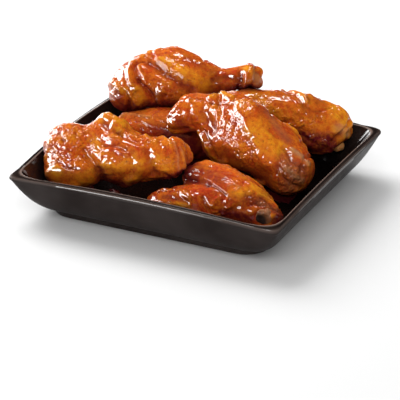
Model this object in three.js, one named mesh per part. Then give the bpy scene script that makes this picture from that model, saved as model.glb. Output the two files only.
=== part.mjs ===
// A serving of six glazed chicken wings heaped on a square black dish.
// Units are millimetres, +Z is up, and the origin is the centre of the dish's foot, on the table.
// +X runs along the dish's front edge to the right and +Y runs to its back edge.
import * as THREE from "three";
import { mergeVertices } from "three/addons/utils/BufferGeometryUtils.js";

// ---- driving dimensions: the dish ----
const RIM_HALF = 80; // half of the dish's side, over the lip
const RIM_HEIGHT = 25; // height of the lip's outer edge at a corner
const LIP_WIDTH = 3.2;
const LIP_CROWN = 1.7; // how far the lip's crest stands above its outer edge
const LIP_CREST = 1.5; // how far in from the outer edge the crest runs
const LIP_SHOULDER = 0.5; // how far in the lip's outer shoulder runs
const LIP_SHOULDER_SHARE = 0.7; // of the crown's height, at that shoulder
const LIP_INNER_SHARE = 0.6; // and at the lip's inner edge
const FOOT_HALF = 61;
const FOOT_HEIGHT = 4.5; // from the table to where the wall starts
const FOOT_FLARE = 1.5; // the foot widens by this much up to the wall
const FOOT_WIDTH = 6; // the ring that stands on the table
const FOOT_DRAFT = 1; // the ring's inner side leans in by this much
const FOOT_ROUND = 0.7; // round on the foot's outer edge
const RECESS = 1.5; // hollow under the dish, inside the foot ring
const FLOOR_HALF = 56; // flat part of the inside
const FLOOR_HEIGHT = 5.5;
const WALL_CURVE = 1.9; // power of both wall curves: flat at the foot, steep at the rim
const SIDE_BULGE = 1; // each side of the rim is this much fuller at its middle
const SIDE_RISE = 1.5; // and this much higher
const OUTER_CORNER = 7;
const INNER_CORNER = 11;
const CORNER_STEPS = 7;
const SIDE_STEPS = 5;
const WALL_STEPS = 6;
const SQUARENESS = 8; // power of the rounded square that runs through a point in the dish
const SLOPE_SPAN = 0.5; // half of the span over which a wall's slope is taken

// ---- driving dimensions: the wings ----
const GAP = 0.7; // clear space between two wings, and between a wing and the dish
const BLEND = 1.9; // how softly one lobe of flesh runs into the next
const SKIN_ROUND = 28; // steps round a wing
const SKIN_LONG = 12; // steps along its middle
const SKIN_CAP = 6; // steps over each end
const REACH = 60; // further than any skin lies from a wing's core
const HALVINGS = 12; // of the last 1 mm of reach, to find the skin
const WELD = 1e-3; // points closer than this are one

const ceramic = new THREE.MeshStandardMaterial({ color: 0x15120f, roughness: 0.25, metalness: 0 });
const skin = new THREE.MeshStandardMaterial({ color: 0xb4560f, roughness: 0.3, metalness: 0 });

// ---- the dish ----

// Height of a wall that starts at (half0, z0) and ends at (half1, z1), at the half-size `half`.
function wallHeight(half, half0, z0, half1, z1) {
  const share = THREE.MathUtils.clamp((half - half0) / (half1 - half0), 0, 1);
  return z0 + (z1 - z0) * share ** WALL_CURVE;
}

const INNER_RIM_HALF = RIM_HALF - LIP_WIDTH;
const innerHeight = (half) =>
  wallHeight(half, FLOOR_HALF, FLOOR_HEIGHT, INNER_RIM_HALF, RIM_HEIGHT + LIP_INNER_SHARE * LIP_CROWN);
const outerHeight = (half) =>
  wallHeight(half, FOOT_HALF + FOOT_FLARE, FOOT_HEIGHT, RIM_HALF, RIM_HEIGHT);

// One closed ring of the dish: a square with round corners, whose sides swell and rise with its height.
function dishRing(half, z, corner) {
  const share = z / RIM_HEIGHT;
  const flat = half - corner;
  const quarter = [];
  for (let i = 0; i < SIDE_STEPS; i++) {
    const along = (2 * i) / SIDE_STEPS - 1;
    const middle = (1 - along * along) * share ** 2;
    quarter.push(new THREE.Vector3(along * flat, -half - SIDE_BULGE * middle, z + SIDE_RISE * middle));
  }
  for (let i = 0; i < CORNER_STEPS; i++) {
    const turn = ((i / CORNER_STEPS - 1) * Math.PI) / 2;
    quarter.push(new THREE.Vector3(flat + corner * Math.cos(turn), -flat + corner * Math.sin(turn), z));
  }
  const up = new THREE.Vector3(0, 0, 1);
  return [0, 1, 2, 3].flatMap((side) =>
    quarter.map((point) => point.clone().applyAxisAngle(up, (side * Math.PI) / 2)),
  );
}

// Joins a stack of rings into one closed skin, with a fan at each end.
function loft(rings, startCentre, endCentre) {
  const count = rings[0].length;
  const points = [startCentre, ...rings.flat(), endCentre];
  const at = (ring, step) => 1 + ring * count + (step % count);
  const faces = [];
  for (let step = 0; step < count; step++) {
    faces.push(0, at(0, step + 1), at(0, step));
    faces.push(points.length - 1, at(rings.length - 1, step), at(rings.length - 1, step + 1));
    for (let ring = 0; ring + 1 < rings.length; ring++) {
      faces.push(at(ring, step), at(ring, step + 1), at(ring + 1, step + 1));
      faces.push(at(ring, step), at(ring + 1, step + 1), at(ring + 1, step));
    }
  }
  return new THREE.BufferGeometry().setFromPoints(points).setIndex(faces);
}

function dishGeometry() {
  const footInner = FOOT_HALF - FOOT_WIDTH;
  const rings = [
    dishRing(footInner - FOOT_DRAFT, RECESS, OUTER_CORNER),
    dishRing(footInner, 0, OUTER_CORNER),
    dishRing(FOOT_HALF - FOOT_ROUND, 0, OUTER_CORNER),
    dishRing(FOOT_HALF, FOOT_ROUND, OUTER_CORNER),
  ];
  for (let i = 0; i <= WALL_STEPS; i++) {
    const half = THREE.MathUtils.lerp(FOOT_HALF + FOOT_FLARE, RIM_HALF, i / WALL_STEPS);
    rings.push(dishRing(half, outerHeight(half), OUTER_CORNER));
  }
  const crestCorner = (OUTER_CORNER + INNER_CORNER) / 2;
  const shoulderHeight = RIM_HEIGHT + LIP_SHOULDER_SHARE * LIP_CROWN;
  rings.push(dishRing(RIM_HALF - LIP_SHOULDER, shoulderHeight, OUTER_CORNER));
  rings.push(dishRing(RIM_HALF - LIP_CREST, RIM_HEIGHT + LIP_CROWN, crestCorner));
  for (let i = WALL_STEPS; i >= 0; i--) {
    const half = THREE.MathUtils.lerp(FLOOR_HALF, INNER_RIM_HALF, i / WALL_STEPS);
    rings.push(dishRing(half, innerHeight(half), INNER_CORNER));
  }
  return loft(rings, new THREE.Vector3(0, 0, RECESS), new THREE.Vector3(0, 0, FLOOR_HEIGHT));
}

// How far a point lies above the dish's inside, taken square to the wall.
function aboveDish(point) {
  const half = (Math.abs(point.x) ** SQUARENESS + Math.abs(point.y) ** SQUARENESS) ** (1 / SQUARENESS);
  const slope = (innerHeight(half + SLOPE_SPAN) - innerHeight(half - SLOPE_SPAN)) / (2 * SLOPE_SPAN);
  return (point.z - innerHeight(half)) / Math.hypot(1, slope);
}

// ---- the wings ----
// A wing lies along its own X, from its thick end to its bone end, with +Z up and +Y towards the back.
// Each lobe of flesh is an ellipsoid: centre, half-sizes, and its turn in the XZ plane in degrees.
// The skin is wrapped round a straight core inside the flesh, given by the X and Z of its two ends.

const lobe = (x, y, z, long, deep, high, turn = 0) => ({ x, y, z, long, deep, high, turn });

const wings = [
  {
    name: "wing_back_floor",
    at: [-28, 33, 18], heading: 3, pitch: -1, roll: -22,
    core: { from: [-26, 0], to: [17, 0] },
    lobes: [
      lobe(-27, 0, -2, 14, 14, 12),
      lobe(-10, 2, 2, 19, 16, 13, 4),
      lobe(6, -2, 1, 16, 13, 12, -6),
      lobe(19, 1, -2, 10, 10, 9),
    ],
  },
  {
    name: "wing_front",
    at: [26, -34.5, 15], heading: 1, pitch: -1, roll: -22,
    core: { from: [-17, 2], to: [28, -2] },
    lobes: [
      lobe(-7, 8, 10, 19, 11, 10.5, -2),
      lobe(10, 1, 3, 22, 15, 13, -17),
      lobe(-24, -8, -5, 15, 9, 7.5, 8),
      lobe(-8, -5, -3, 18, 13, 9, -4),
      lobe(30, -1, -4, 11, 12, 8, -18),
    ],
  },
  {
    name: "wing_right",
    at: [31.5, 60.5, 31], heading: 11, pitch: 9, roll: -24,
    core: { from: [-27, 0], to: [22, -1] },
    lobes: [
      lobe(-27, 1, -1, 12, 12, 10),
      lobe(-10, 1, 0, 18, 14, 13, 8),
      lobe(6, -2, 1, 15, 13, 13.5, -6),
      lobe(22, 1, 1, 13, 12, 11, -14),
      lobe(18, -3, -8, 11, 10, 9, 12),
    ],
  },
  {
    name: "wing_left",
    at: [-35.5, -33, 27], heading: 13, pitch: -4.5, roll: -23,
    core: { from: [-27, -3], to: [30, 1] },
    lobes: [
      lobe(-28, 1, 6, 15, 15, 14),
      lobe(-24, -4, -8, 18, 13, 9.5),
      lobe(-7, 2, 11, 12, 10, 14, -24),
      lobe(2, 0, 0, 19, 14, 14.5, -8),
      lobe(17, -1, 1, 14, 11, 12),
      lobe(31, 0, 1, 11, 10, 12.5),
    ],
  },
  {
    name: "wing_middle",
    at: [15, 15.5, 27], heading: -6, pitch: 17.5, roll: -21,
    core: { from: [-34, 2], to: [40, 3] },
    lobes: [
      lobe(-34, -3, 0, 8, 10, 13, -10),
      lobe(-25, 0, 7, 12, 11, 10, 10),
      lobe(-10, 1, 12, 17, 12, 15, 14),
      lobe(-9, -1, -3, 9, 10, 11.5, -30),
      lobe(4, -2, 8, 19, 15, 20),
      lobe(22, 0, 7, 17, 14, 17, -8),
      lobe(37, -1, 3, 12, 13, 14.5, -12),
    ],
  },
  {
    name: "wing_back_top",
    at: [-30, 55.5, 43], heading: 13, pitch: -6, roll: -23,
    core: { from: [-38, -2], to: [35, 2] },
    lobes: [
      lobe(-30, 0, 0, 17, 15, 15),
      lobe(-39, -3, -8, 10, 11, 10),
      lobe(-12, 2, 8, 15, 11, 13, -14),
      lobe(-11, -1, -3, 22, 14, 12),
      lobe(3, 1, 5, 15, 10, 9, -22),
      lobe(22, 0, 0, 14, 8, 7.5, 4),
      lobe(34, 0, 2, 7, 8, 8.5),
    ],
  },
];

// A rough distance from a point in the wing's own axes to one lobe, below zero inside it.
function toLobe(point, { x, y, z, long, deep, high, turn }) {
  const angle = THREE.MathUtils.degToRad(turn);
  const dx = point.x - x;
  const dz = point.z - z;
  const along = (dx * Math.cos(angle) + dz * Math.sin(angle)) / long;
  const up = (dz * Math.cos(angle) - dx * Math.sin(angle)) / high;
  const away = (point.y - y) / deep;
  const near = Math.hypot(along, away, up);
  const slope = Math.hypot(along / long, away / deep, up / high);
  return slope < 1e-6 ? -Math.min(long, deep, high) : (near * (near - 1)) / slope;
}

// The same for all of a wing's lobes, run softly into each other.
function toFlesh(point, lobes) {
  const sum = lobes.reduce((total, each) => total + Math.exp(-toLobe(point, each) / BLEND), 0);
  return -BLEND * Math.log(sum);
}

// Slides each point of a capsule along its own normal until it meets the skin, a neighbour or the dish.
function wingGeometry(wing, mesh, placed) {
  const [start, startRise] = wing.core.from;
  const [end, endRise] = wing.core.to;
  const capsule = new THREE.CapsuleGeometry(1, end - start, SKIN_CAP, SKIN_ROUND, SKIN_LONG);
  capsule.rotateZ(Math.PI / 2).translate((start + end) / 2, 0, 0);
  capsule.deleteAttribute("normal");
  capsule.deleteAttribute("uv");
  const geometry = mergeVertices(capsule, WELD);
  const position = geometry.getAttribute("position");
  const world = new THREE.Vector3();
  const local = new THREE.Vector3();
  const outside = (point) => {
    world.copy(point).applyMatrix4(mesh.matrixWorld);
    const clear = placed.map((other) => other.clearance(world) - GAP);
    return Math.max(toFlesh(point, wing.lobes), -Math.min(aboveDish(world) - GAP, ...clear));
  };
  for (let i = 0; i < position.count; i++) {
    const onCapsule = new THREE.Vector3().fromBufferAttribute(position, i);
    const root = new THREE.Vector3(THREE.MathUtils.clamp(onCapsule.x, start, end), 0, 0);
    const ray = onCapsule.sub(root).normalize();
    root.z = THREE.MathUtils.mapLinear(root.x, start, end, startRise, endRise);
    let inner = 0;
    let outer = REACH;
    for (let reach = 1; reach < REACH; reach += 1) {
      if (outside(local.copy(root).addScaledVector(ray, reach)) > 0) {
        outer = reach;
        break;
      }
      inner = reach;
    }
    for (let halving = 0; halving < HALVINGS; halving++) {
      const half = (inner + outer) / 2;
      if (outside(local.copy(root).addScaledVector(ray, half)) > 0) outer = half;
      else inner = half;
    }
    local.copy(root).addScaledVector(ray, inner);
    position.setXYZ(i, local.x, local.y, local.z);
  }
  return geometry;
}

const serving = new THREE.Group();
const dish = new THREE.Mesh(dishGeometry(), ceramic);
dish.name = "dish";
serving.add(dish);

const placed = [];
for (const wing of wings) {
  const mesh = new THREE.Mesh(undefined, skin);
  mesh.name = wing.name;
  mesh.position.set(...wing.at);
  mesh.rotation.set(...[wing.roll, wing.pitch, wing.heading].map(THREE.MathUtils.degToRad), "ZYX");
  mesh.updateMatrixWorld();
  mesh.geometry = wingGeometry(wing, mesh, placed);
  const intoWing = mesh.matrixWorld.clone().invert();
  placed.push({
    clearance: (world) => toFlesh(world.clone().applyMatrix4(intoWing), wing.lobes),
  });
  serving.add(mesh);
}

export default serving;
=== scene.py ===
"""Six glazed chicken wings heaped on a square black dish, dressed for a studio picture.

Lengths are named in millimetres and turned into metres where a mesh is made. The wings and the dish
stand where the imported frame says. Marks on a wing are placed with the studio camera: a point of its
400 by 400 frame is cast onto that wing's own skin.
"""

import itertools
import logging
import math
from collections.abc import Callable, Iterable
from dataclasses import dataclass, field, replace
from enum import Enum

import bmesh
import bpy
import numpy as np
from mathutils import Matrix, Vector
from mathutils.bvhtree import BVHTree


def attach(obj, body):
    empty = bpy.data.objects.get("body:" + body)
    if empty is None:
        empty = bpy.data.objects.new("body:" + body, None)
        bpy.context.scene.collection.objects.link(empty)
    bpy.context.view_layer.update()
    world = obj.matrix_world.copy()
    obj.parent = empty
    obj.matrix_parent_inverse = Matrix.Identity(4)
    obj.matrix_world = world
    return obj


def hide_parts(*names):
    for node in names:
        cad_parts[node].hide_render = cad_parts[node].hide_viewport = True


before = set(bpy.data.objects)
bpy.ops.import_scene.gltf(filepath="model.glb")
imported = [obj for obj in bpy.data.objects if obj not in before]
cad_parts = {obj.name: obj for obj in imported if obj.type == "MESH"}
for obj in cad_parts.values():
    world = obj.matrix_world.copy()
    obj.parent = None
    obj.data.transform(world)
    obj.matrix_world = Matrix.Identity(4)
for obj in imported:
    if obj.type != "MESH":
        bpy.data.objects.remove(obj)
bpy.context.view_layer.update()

log = logging.getLogger("serving")

MM = 0.001
FRAME_SIDE = 400

Pixel = tuple[float, float]
Colour = tuple[float, float, float]


class Slot(Enum):
    """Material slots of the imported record."""

    DISH = "dish"
    WING = "wing"


class Channel(Enum):
    """What a mark or a stain changes on the skin, one point attribute each."""

    # fat is yellow fat, and also painted light on crests, on dimly lit wings and on a lit belly.
    FAT = "fat"
    # sauce is sauce, and also painted shade underneath, near neighbouring wings and in clefts and hollows.
    SAUCE = "sauce"
    # char is browning, and also painted shade underneath, in grooves and creases and between parts.
    CHAR = "char"
    # pale is paler skin, and also painted highlights on a few ridges.
    PALE = "pale"
    LUMPS = "lumps"
    DRY = "dry"


# ---------------------------------------------------------------- studio


@dataclass(frozen=True)
class StudioCamera:
    """The camera's place: it looks at the dish from the front right, a little above it.

    Angles are in degrees and lengths in millimetres.
    """

    azimuth: float = 23.6
    elevation: float = 24.2
    roll: float = 1.5
    distance: float = 1450.0
    lens: float = 230.85
    sensor: float = 36.0
    aim_right: float = 0.68
    aim_up: float = -3.79
    nearest: float = 10.0
    farthest: float = 20000.0

    def axes(self) -> tuple[Vector, Vector, Vector]:
        """The camera's right, up and backward directions.

        Returns:
            Three unit vectors in the part's frame.
        """
        azimuth, elevation, roll = (math.radians(a) for a in (self.azimuth, self.elevation, self.roll))
        back = Vector(
            (
                math.sin(azimuth) * math.cos(elevation),
                -math.cos(azimuth) * math.cos(elevation),
                math.sin(elevation),
            )
        )
        level = Vector((math.cos(azimuth), math.sin(azimuth), 0.0))
        upright = back.cross(level)
        right = level * math.cos(roll) + upright * math.sin(roll)
        up = upright * math.cos(roll) - level * math.sin(roll)
        return right, up, back

    def place(self) -> Vector:
        """Where the camera stands, in metres."""
        right, up, back = self.axes()
        return (right * self.aim_right + up * self.aim_up + back * self.distance) * MM

    def ray(self, pixel: Pixel) -> tuple[Vector, Vector]:
        """The line of sight through a point of the frame.

        Args:
            pixel: Column and row in the 400 by 400 frame.

        Returns:
            The line's start and its unit direction.
        """
        right, up, back = self.axes()
        focal = self.lens / self.sensor * FRAME_SIDE
        column, row = pixel
        half = FRAME_SIDE / 2
        direction = right * (column - half) - up * (row - half) - back * focal
        return self.place(), direction.normalized()

    def build(self) -> bpy.types.Object:
        """Makes the scene's camera.

        Returns:
            The camera object.
        """
        data = bpy.data.cameras.new("studio_camera")
        data.lens = self.lens
        data.sensor_width = self.sensor
        data.clip_start = self.nearest * MM
        data.clip_end = self.farthest * MM
        camera = bpy.data.objects.new("studio_camera", data)
        right, up, back = self.axes()
        turn = Matrix((right, up, back)).transposed().to_4x4()
        camera.matrix_world = Matrix.Translation(self.place()) @ turn
        bpy.context.scene.collection.objects.link(camera)
        bpy.context.scene.camera = camera
        return camera


@dataclass(frozen=True)
class Softbox:
    """One area light that looks at the dish. Lengths are in metres.

    A light that isn't mirrored gives its light but no reflection, as a wide bounce card does. One that
    isn't lighting only shows in glossy surfaces.
    """

    name: str
    place: tuple[float, float, float]
    width: float
    height: float
    power: float
    mirrored: bool = True
    lighting: bool = True
    target: tuple[float, float, float] = (0.0, 0.0, 0.02)

    def build(self) -> bpy.types.Object:
        """Makes the light and aims it.

        Returns:
            The light object.
        """
        data = bpy.data.lights.new(self.name, "AREA")
        data.shape = "RECTANGLE"
        data.size = self.width
        data.size_y = self.height
        data.energy = self.power
        light = bpy.data.objects.new(self.name, data)
        toward = Vector(self.target) - Vector(self.place)
        light.rotation_euler = toward.to_track_quat("-Z", "Y").to_euler()
        light.location = self.place
        light.visible_glossy = self.mirrored
        light.visible_diffuse = self.lighting
        bpy.context.scene.collection.objects.link(light)
        return light


@dataclass(frozen=True)
class Studio:
    """The pale floor, the softboxes and the weak light of the room."""

    floor_side: float = 8.0
    floor_albedo: float = 0.60
    floor_roughness: float = 0.9
    room_light: float = 0.62
    boxes: tuple[Softbox, ...] = (
        Softbox("key_softbox", (-0.88, 0.57, 0.87), 1.00, 1.00, 34.0, mirrored=False),
        Softbox("left_softbox", (-1.17, 0.08, 0.31), 1.10, 0.60, 31.0, lighting=False),
        Softbox("front_left_softbox", (-0.78, -0.95, 0.23), 1.05, 0.44, 25.0, lighting=False),
        Softbox("top_softbox", (-0.25, 0.22, 1.25), 0.30, 0.30, 4.0, lighting=False),
        Softbox("front_fill", (0.30, -1.00, 1.00), 1.00, 0.70, 7.0, mirrored=False),
        Softbox("front_bounce", (0.50, -1.30, 0.07), 1.60, 0.12, 13.0, mirrored=False),
        Softbox("back_card", (-0.87, 1.04, 0.10), 1.10, 0.12, 2.5, lighting=False),
    )

    def build(self) -> None:
        """Makes floor, room and lights, and chooses plain colours for the picture."""
        bpy.ops.mesh.primitive_plane_add(size=self.floor_side)
        floor = bpy.context.object
        floor.name = "studio_floor"
        floor.data.materials.append(self.paper())
        world = bpy.data.worlds.new("studio_room")
        world.use_nodes = True
        backdrop = world.node_tree.nodes["Background"]
        backdrop.inputs["Color"].default_value = (1.0, 1.0, 1.0, 1.0)
        backdrop.inputs["Strength"].default_value = self.room_light
        world.cycles_visibility.glossy = False
        bpy.context.scene.world = world
        for box in self.boxes:
            box.build()
        bpy.context.scene.view_settings.view_transform = "Standard"
        bpy.context.scene.view_settings.look = "None"

    def paper(self) -> bpy.types.Material:
        """The matt white of the floor.

        Returns:
            Its material.
        """
        material = bpy.data.materials.new("studio_paper")
        material.use_nodes = True
        shader = material.node_tree.nodes["Principled BSDF"]
        shader.inputs["Base Color"].default_value = (*[self.floor_albedo] * 3, 1.0)
        shader.inputs["Roughness"].default_value = self.floor_roughness
        shader.inputs["Specular IOR Level"].default_value = 0.0
        return material


# ---------------------------------------------------------------- finishes


@dataclass(frozen=True)
class Cloud:
    """A layer of cloudy noise on a surface.

    Attributes:
        cell: Size of its largest patches, in millimetres.
        detail: Number of finer layers.
        rough: Weight of the finer layers.
        low: Noise below which the layer is at its least.
        high: Noise above which it is at its most.
        least: Value between the clouds.
        most: Value in the clouds.
    """

    cell: float
    detail: float
    rough: float
    low: float
    high: float
    least: float = 0.0
    most: float = 1.0


@dataclass(frozen=True)
class Relief:
    """Cloudy relief that is finer than the mesh.

    Attributes:
        cell: Size of its largest patches, in millimetres.
        detail: Number of finer layers.
        rough: Weight of the finer layers.
        depth: Height from its lowest to its highest point, in millimetres.
        strength: Share of it that shows.
    """

    cell: float
    detail: float
    rough: float
    depth: float
    strength: float


class Graph:
    """A material's node graph, with short calls for the nodes that the finishes use."""

    PUSH_CELLS = 3

    def __init__(self, name: str) -> None:
        """Starts a material with one Principled shader.

        Args:
            name: The material's name.
        """
        self.material = bpy.data.materials.new(name)
        self.material.use_nodes = True
        self.nodes = self.material.node_tree.nodes
        self.links = self.material.node_tree.links
        self.shader = self.nodes["Principled BSDF"]
        self.place = self.nodes.new("ShaderNodeTexCoord").outputs["Object"]

    def constants(self, **values: float | tuple[float, ...]) -> None:
        """Sets sockets of the shader that are the same all over the surface.

        Args:
            **values: Socket names, with _ for each space, and their values.
        """
        for name, value in values.items():
            self.shader.inputs[name.replace("_", " ")].default_value = value

    def attribute(self, name: str) -> bpy.types.NodeSocket:
        """One of the piece's point attributes.

        Args:
            name: The attribute's name.

        Returns:
            Its factor socket.
        """
        node = self.nodes.new("ShaderNodeAttribute")
        node.attribute_name = name
        return node.outputs["Fac"]

    def noise(self, cell: float, detail: float, rough: float) -> bpy.types.NodeSocket:
        """Cloudy noise on Object coordinates.

        Args:
            cell: Size of its largest patches, in millimetres.
            detail: Number of finer layers.
            rough: Weight of the finer layers.

        Returns:
            Its factor socket.
        """
        node = self.nodes.new("ShaderNodeTexNoise")
        node.inputs["Scale"].default_value = 1 / (cell * MM)
        node.inputs["Detail"].default_value = detail
        node.inputs["Roughness"].default_value = rough
        self.links.new(self.place, node.inputs["Vector"])
        return node.outputs["Fac"]

    def beads(self, cell: float, drift: float) -> bpy.types.NodeSocket:
        """Round beads that touch each other, on Object coordinates.

        Args:
            cell: Size of one bead, in millimetres.
            drift: How far the beads are pushed out of shape, in millimetres.

        Returns:
            A socket that is 0 in a bead's middle and grows towards its edge.
        """
        push = self.nodes.new("ShaderNodeTexNoise")
        push.inputs["Scale"].default_value = 1 / (self.PUSH_CELLS * cell * MM)
        self.links.new(self.place, push.inputs["Vector"])
        moved = self.nodes.new("ShaderNodeVectorMath")
        moved.operation = "MULTIPLY_ADD"
        moved.inputs[1].default_value = (drift * MM,) * 3
        self.links.new(push.outputs["Color"], moved.inputs[0])
        self.links.new(self.place, moved.inputs[2])
        node = self.nodes.new("ShaderNodeTexVoronoi")
        node.inputs["Scale"].default_value = 1 / (cell * MM)
        self.links.new(moved.outputs["Vector"], node.inputs["Vector"])
        return node.outputs["Distance"]

    def span(
        self, value: bpy.types.NodeSocket, low: float, high: float, to_low: float = 0.0, to_high: float = 1.0
    ) -> bpy.types.NodeSocket:
        """Stretches a value from one span to another, and holds it at the ends.

        Args:
            value: The socket to read.
            low: Value that becomes to_low.
            high: Value that becomes to_high.
            to_low: Result at low.
            to_high: Result at high.

        Returns:
            The result socket.
        """
        node = self.nodes.new("ShaderNodeMapRange")
        node.inputs["From Min"].default_value = low
        node.inputs["From Max"].default_value = high
        node.inputs["To Min"].default_value = to_low
        node.inputs["To Max"].default_value = to_high
        self.links.new(value, node.inputs["Value"])
        return node.outputs["Result"]

    def cloud(self, cloud: Cloud) -> bpy.types.NodeSocket:
        """A layer of clouds.

        Args:
            cloud: Its size and strength.

        Returns:
            Its socket.
        """
        noise = self.noise(cloud.cell, cloud.detail, cloud.rough)
        return self.span(noise, cloud.low, cloud.high, cloud.least, cloud.most)

    def maths(
        self, operation: str, first: bpy.types.NodeSocket, second: bpy.types.NodeSocket
    ) -> bpy.types.NodeSocket:
        """One sum on two values.

        Args:
            operation: Blender's name of the sum.
            first: The first socket.
            second: The second socket.

        Returns:
            The result socket.
        """
        node = self.nodes.new("ShaderNodeMath")
        node.operation = operation
        self.links.new(first, node.inputs[0])
        self.links.new(second, node.inputs[1])
        return node.outputs["Value"]

    def blend(
        self, share: bpy.types.NodeSocket, first: bpy.types.NodeSocket | Colour, second: Colour
    ) -> bpy.types.NodeSocket:
        """Mixes a second colour over a first one.

        Args:
            share: How much of the second colour shows.
            first: A colour or a colour socket.
            second: The colour that goes over it.

        Returns:
            The result socket.
        """
        node = self.nodes.new("ShaderNodeMix")
        node.data_type = "RGBA"
        self.links.new(share, node.inputs["Factor"])
        below, above = node.inputs[6], node.inputs[7]
        if isinstance(first, bpy.types.NodeSocket):
            self.links.new(first, below)
        else:
            below.default_value = (*first, 1.0)
        above.default_value = (*second, 1.0)
        return node.outputs[2]

    def stained(
        self, tone: bpy.types.NodeSocket, channel: Channel, colour: Colour, cloud: Cloud | None = None
    ) -> bpy.types.NodeSocket:
        """Lays a colour over a tone where a channel says so.

        Args:
            tone: The tone below.
            channel: The channel.
            colour: The colour.
            cloud: Clouds that the stain breaks up into.

        Returns:
            The result socket.
        """
        share = self.attribute(channel.value)
        if cloud:
            share = self.maths("MULTIPLY", self.cloud(cloud), share)
        return self.blend(share, tone, colour)

    def bump(self, height: bpy.types.NodeSocket, depth: float, strength: float) -> None:
        """Adds relief that is finer than the mesh.

        Args:
            height: Relief from 0 to 1.
            depth: What 1 stands for, in millimetres.
            strength: Share of it that shows.
        """
        node = self.nodes.new("ShaderNodeBump")
        node.inputs["Strength"].default_value = strength
        node.inputs["Distance"].default_value = depth * MM
        self.links.new(height, node.inputs["Height"])
        if self.shader.inputs["Normal"].is_linked:
            self.links.new(self.shader.inputs["Normal"].links[0].from_socket, node.inputs["Normal"])
        self.links.new(node.outputs["Normal"], self.shader.inputs["Normal"])

    def relief(self, relief: Relief) -> None:
        """Adds cloudy relief."""
        self.bump(self.noise(relief.cell, relief.detail, relief.rough), relief.depth, relief.strength)

    def connect(self, socket: bpy.types.NodeSocket, name: str) -> None:
        """Feeds one of the shader's sockets."""
        self.links.new(socket, self.shader.inputs[name])


@dataclass(frozen=True)
class BlackGlaze:
    """Black stoneware glaze, of one gloss.

    Attributes:
        name: The material's name.
        roughness: Its least and its most roughness.
        index: Its index of refraction.
        deep: Its colour.
        brown: Its colour in broad clouds.
        thin: Its colour on the lip's two edges, partly glaze run thin and brown there and partly painted
            highlight lines.
        pooled_and_shaded: Its colour on the floor and low on the inner wall, partly glaze gathered there and
            partly painted shade under the heap.
        browning: The broad clouds.
        gloss_clouds: The clouds of more and less roughness.
        ripples: The glaze's unevenness.
    """

    name: str
    roughness: tuple[float, float]
    index: float
    deep: Colour = (0.0075, 0.0048, 0.0042)
    brown: Colour = (0.018, 0.0112, 0.0092)
    thin: Colour = (0.24, 0.170, 0.142)
    pooled_and_shaded: Colour = (0.0025, 0.0012, 0.0011)
    browning: Cloud = Cloud(26.0, 3.0, 0.55, 0.35, 0.7)
    gloss_clouds: Cloud = Cloud(3.5, 3.0, 0.6, 0.3, 0.7)
    ripples: Relief = Relief(9.0, 1.0, 0.4, 0.05, 0.25)

    def make(self) -> bpy.types.Material:
        """Builds the material from the dish's thin attribute.

        Returns:
            The glaze.
        """
        graph = Graph(self.name)
        tone = graph.blend(graph.cloud(self.browning), self.deep, self.brown)
        # Gathered glaze and painted shade: where the thin attribute goes below zero, the floor and the foot
        # of the inner wall turn darker.
        tone = graph.blend(graph.span(graph.attribute("thin"), 0.0, -1.0), tone, self.pooled_and_shaded)
        # Painted highlight lines: where the thin attribute is up, on the lip's edges, the glaze turns light
        # brown.
        graph.connect(graph.blend(graph.attribute("thin"), tone, self.thin), "Base Color")
        least, most = self.roughness
        graph.connect(graph.cloud(replace(self.gloss_clouds, least=least, most=most)), "Roughness")
        graph.constants(IOR=self.index)
        graph.relief(self.ripples)
        return graph.material


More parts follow.
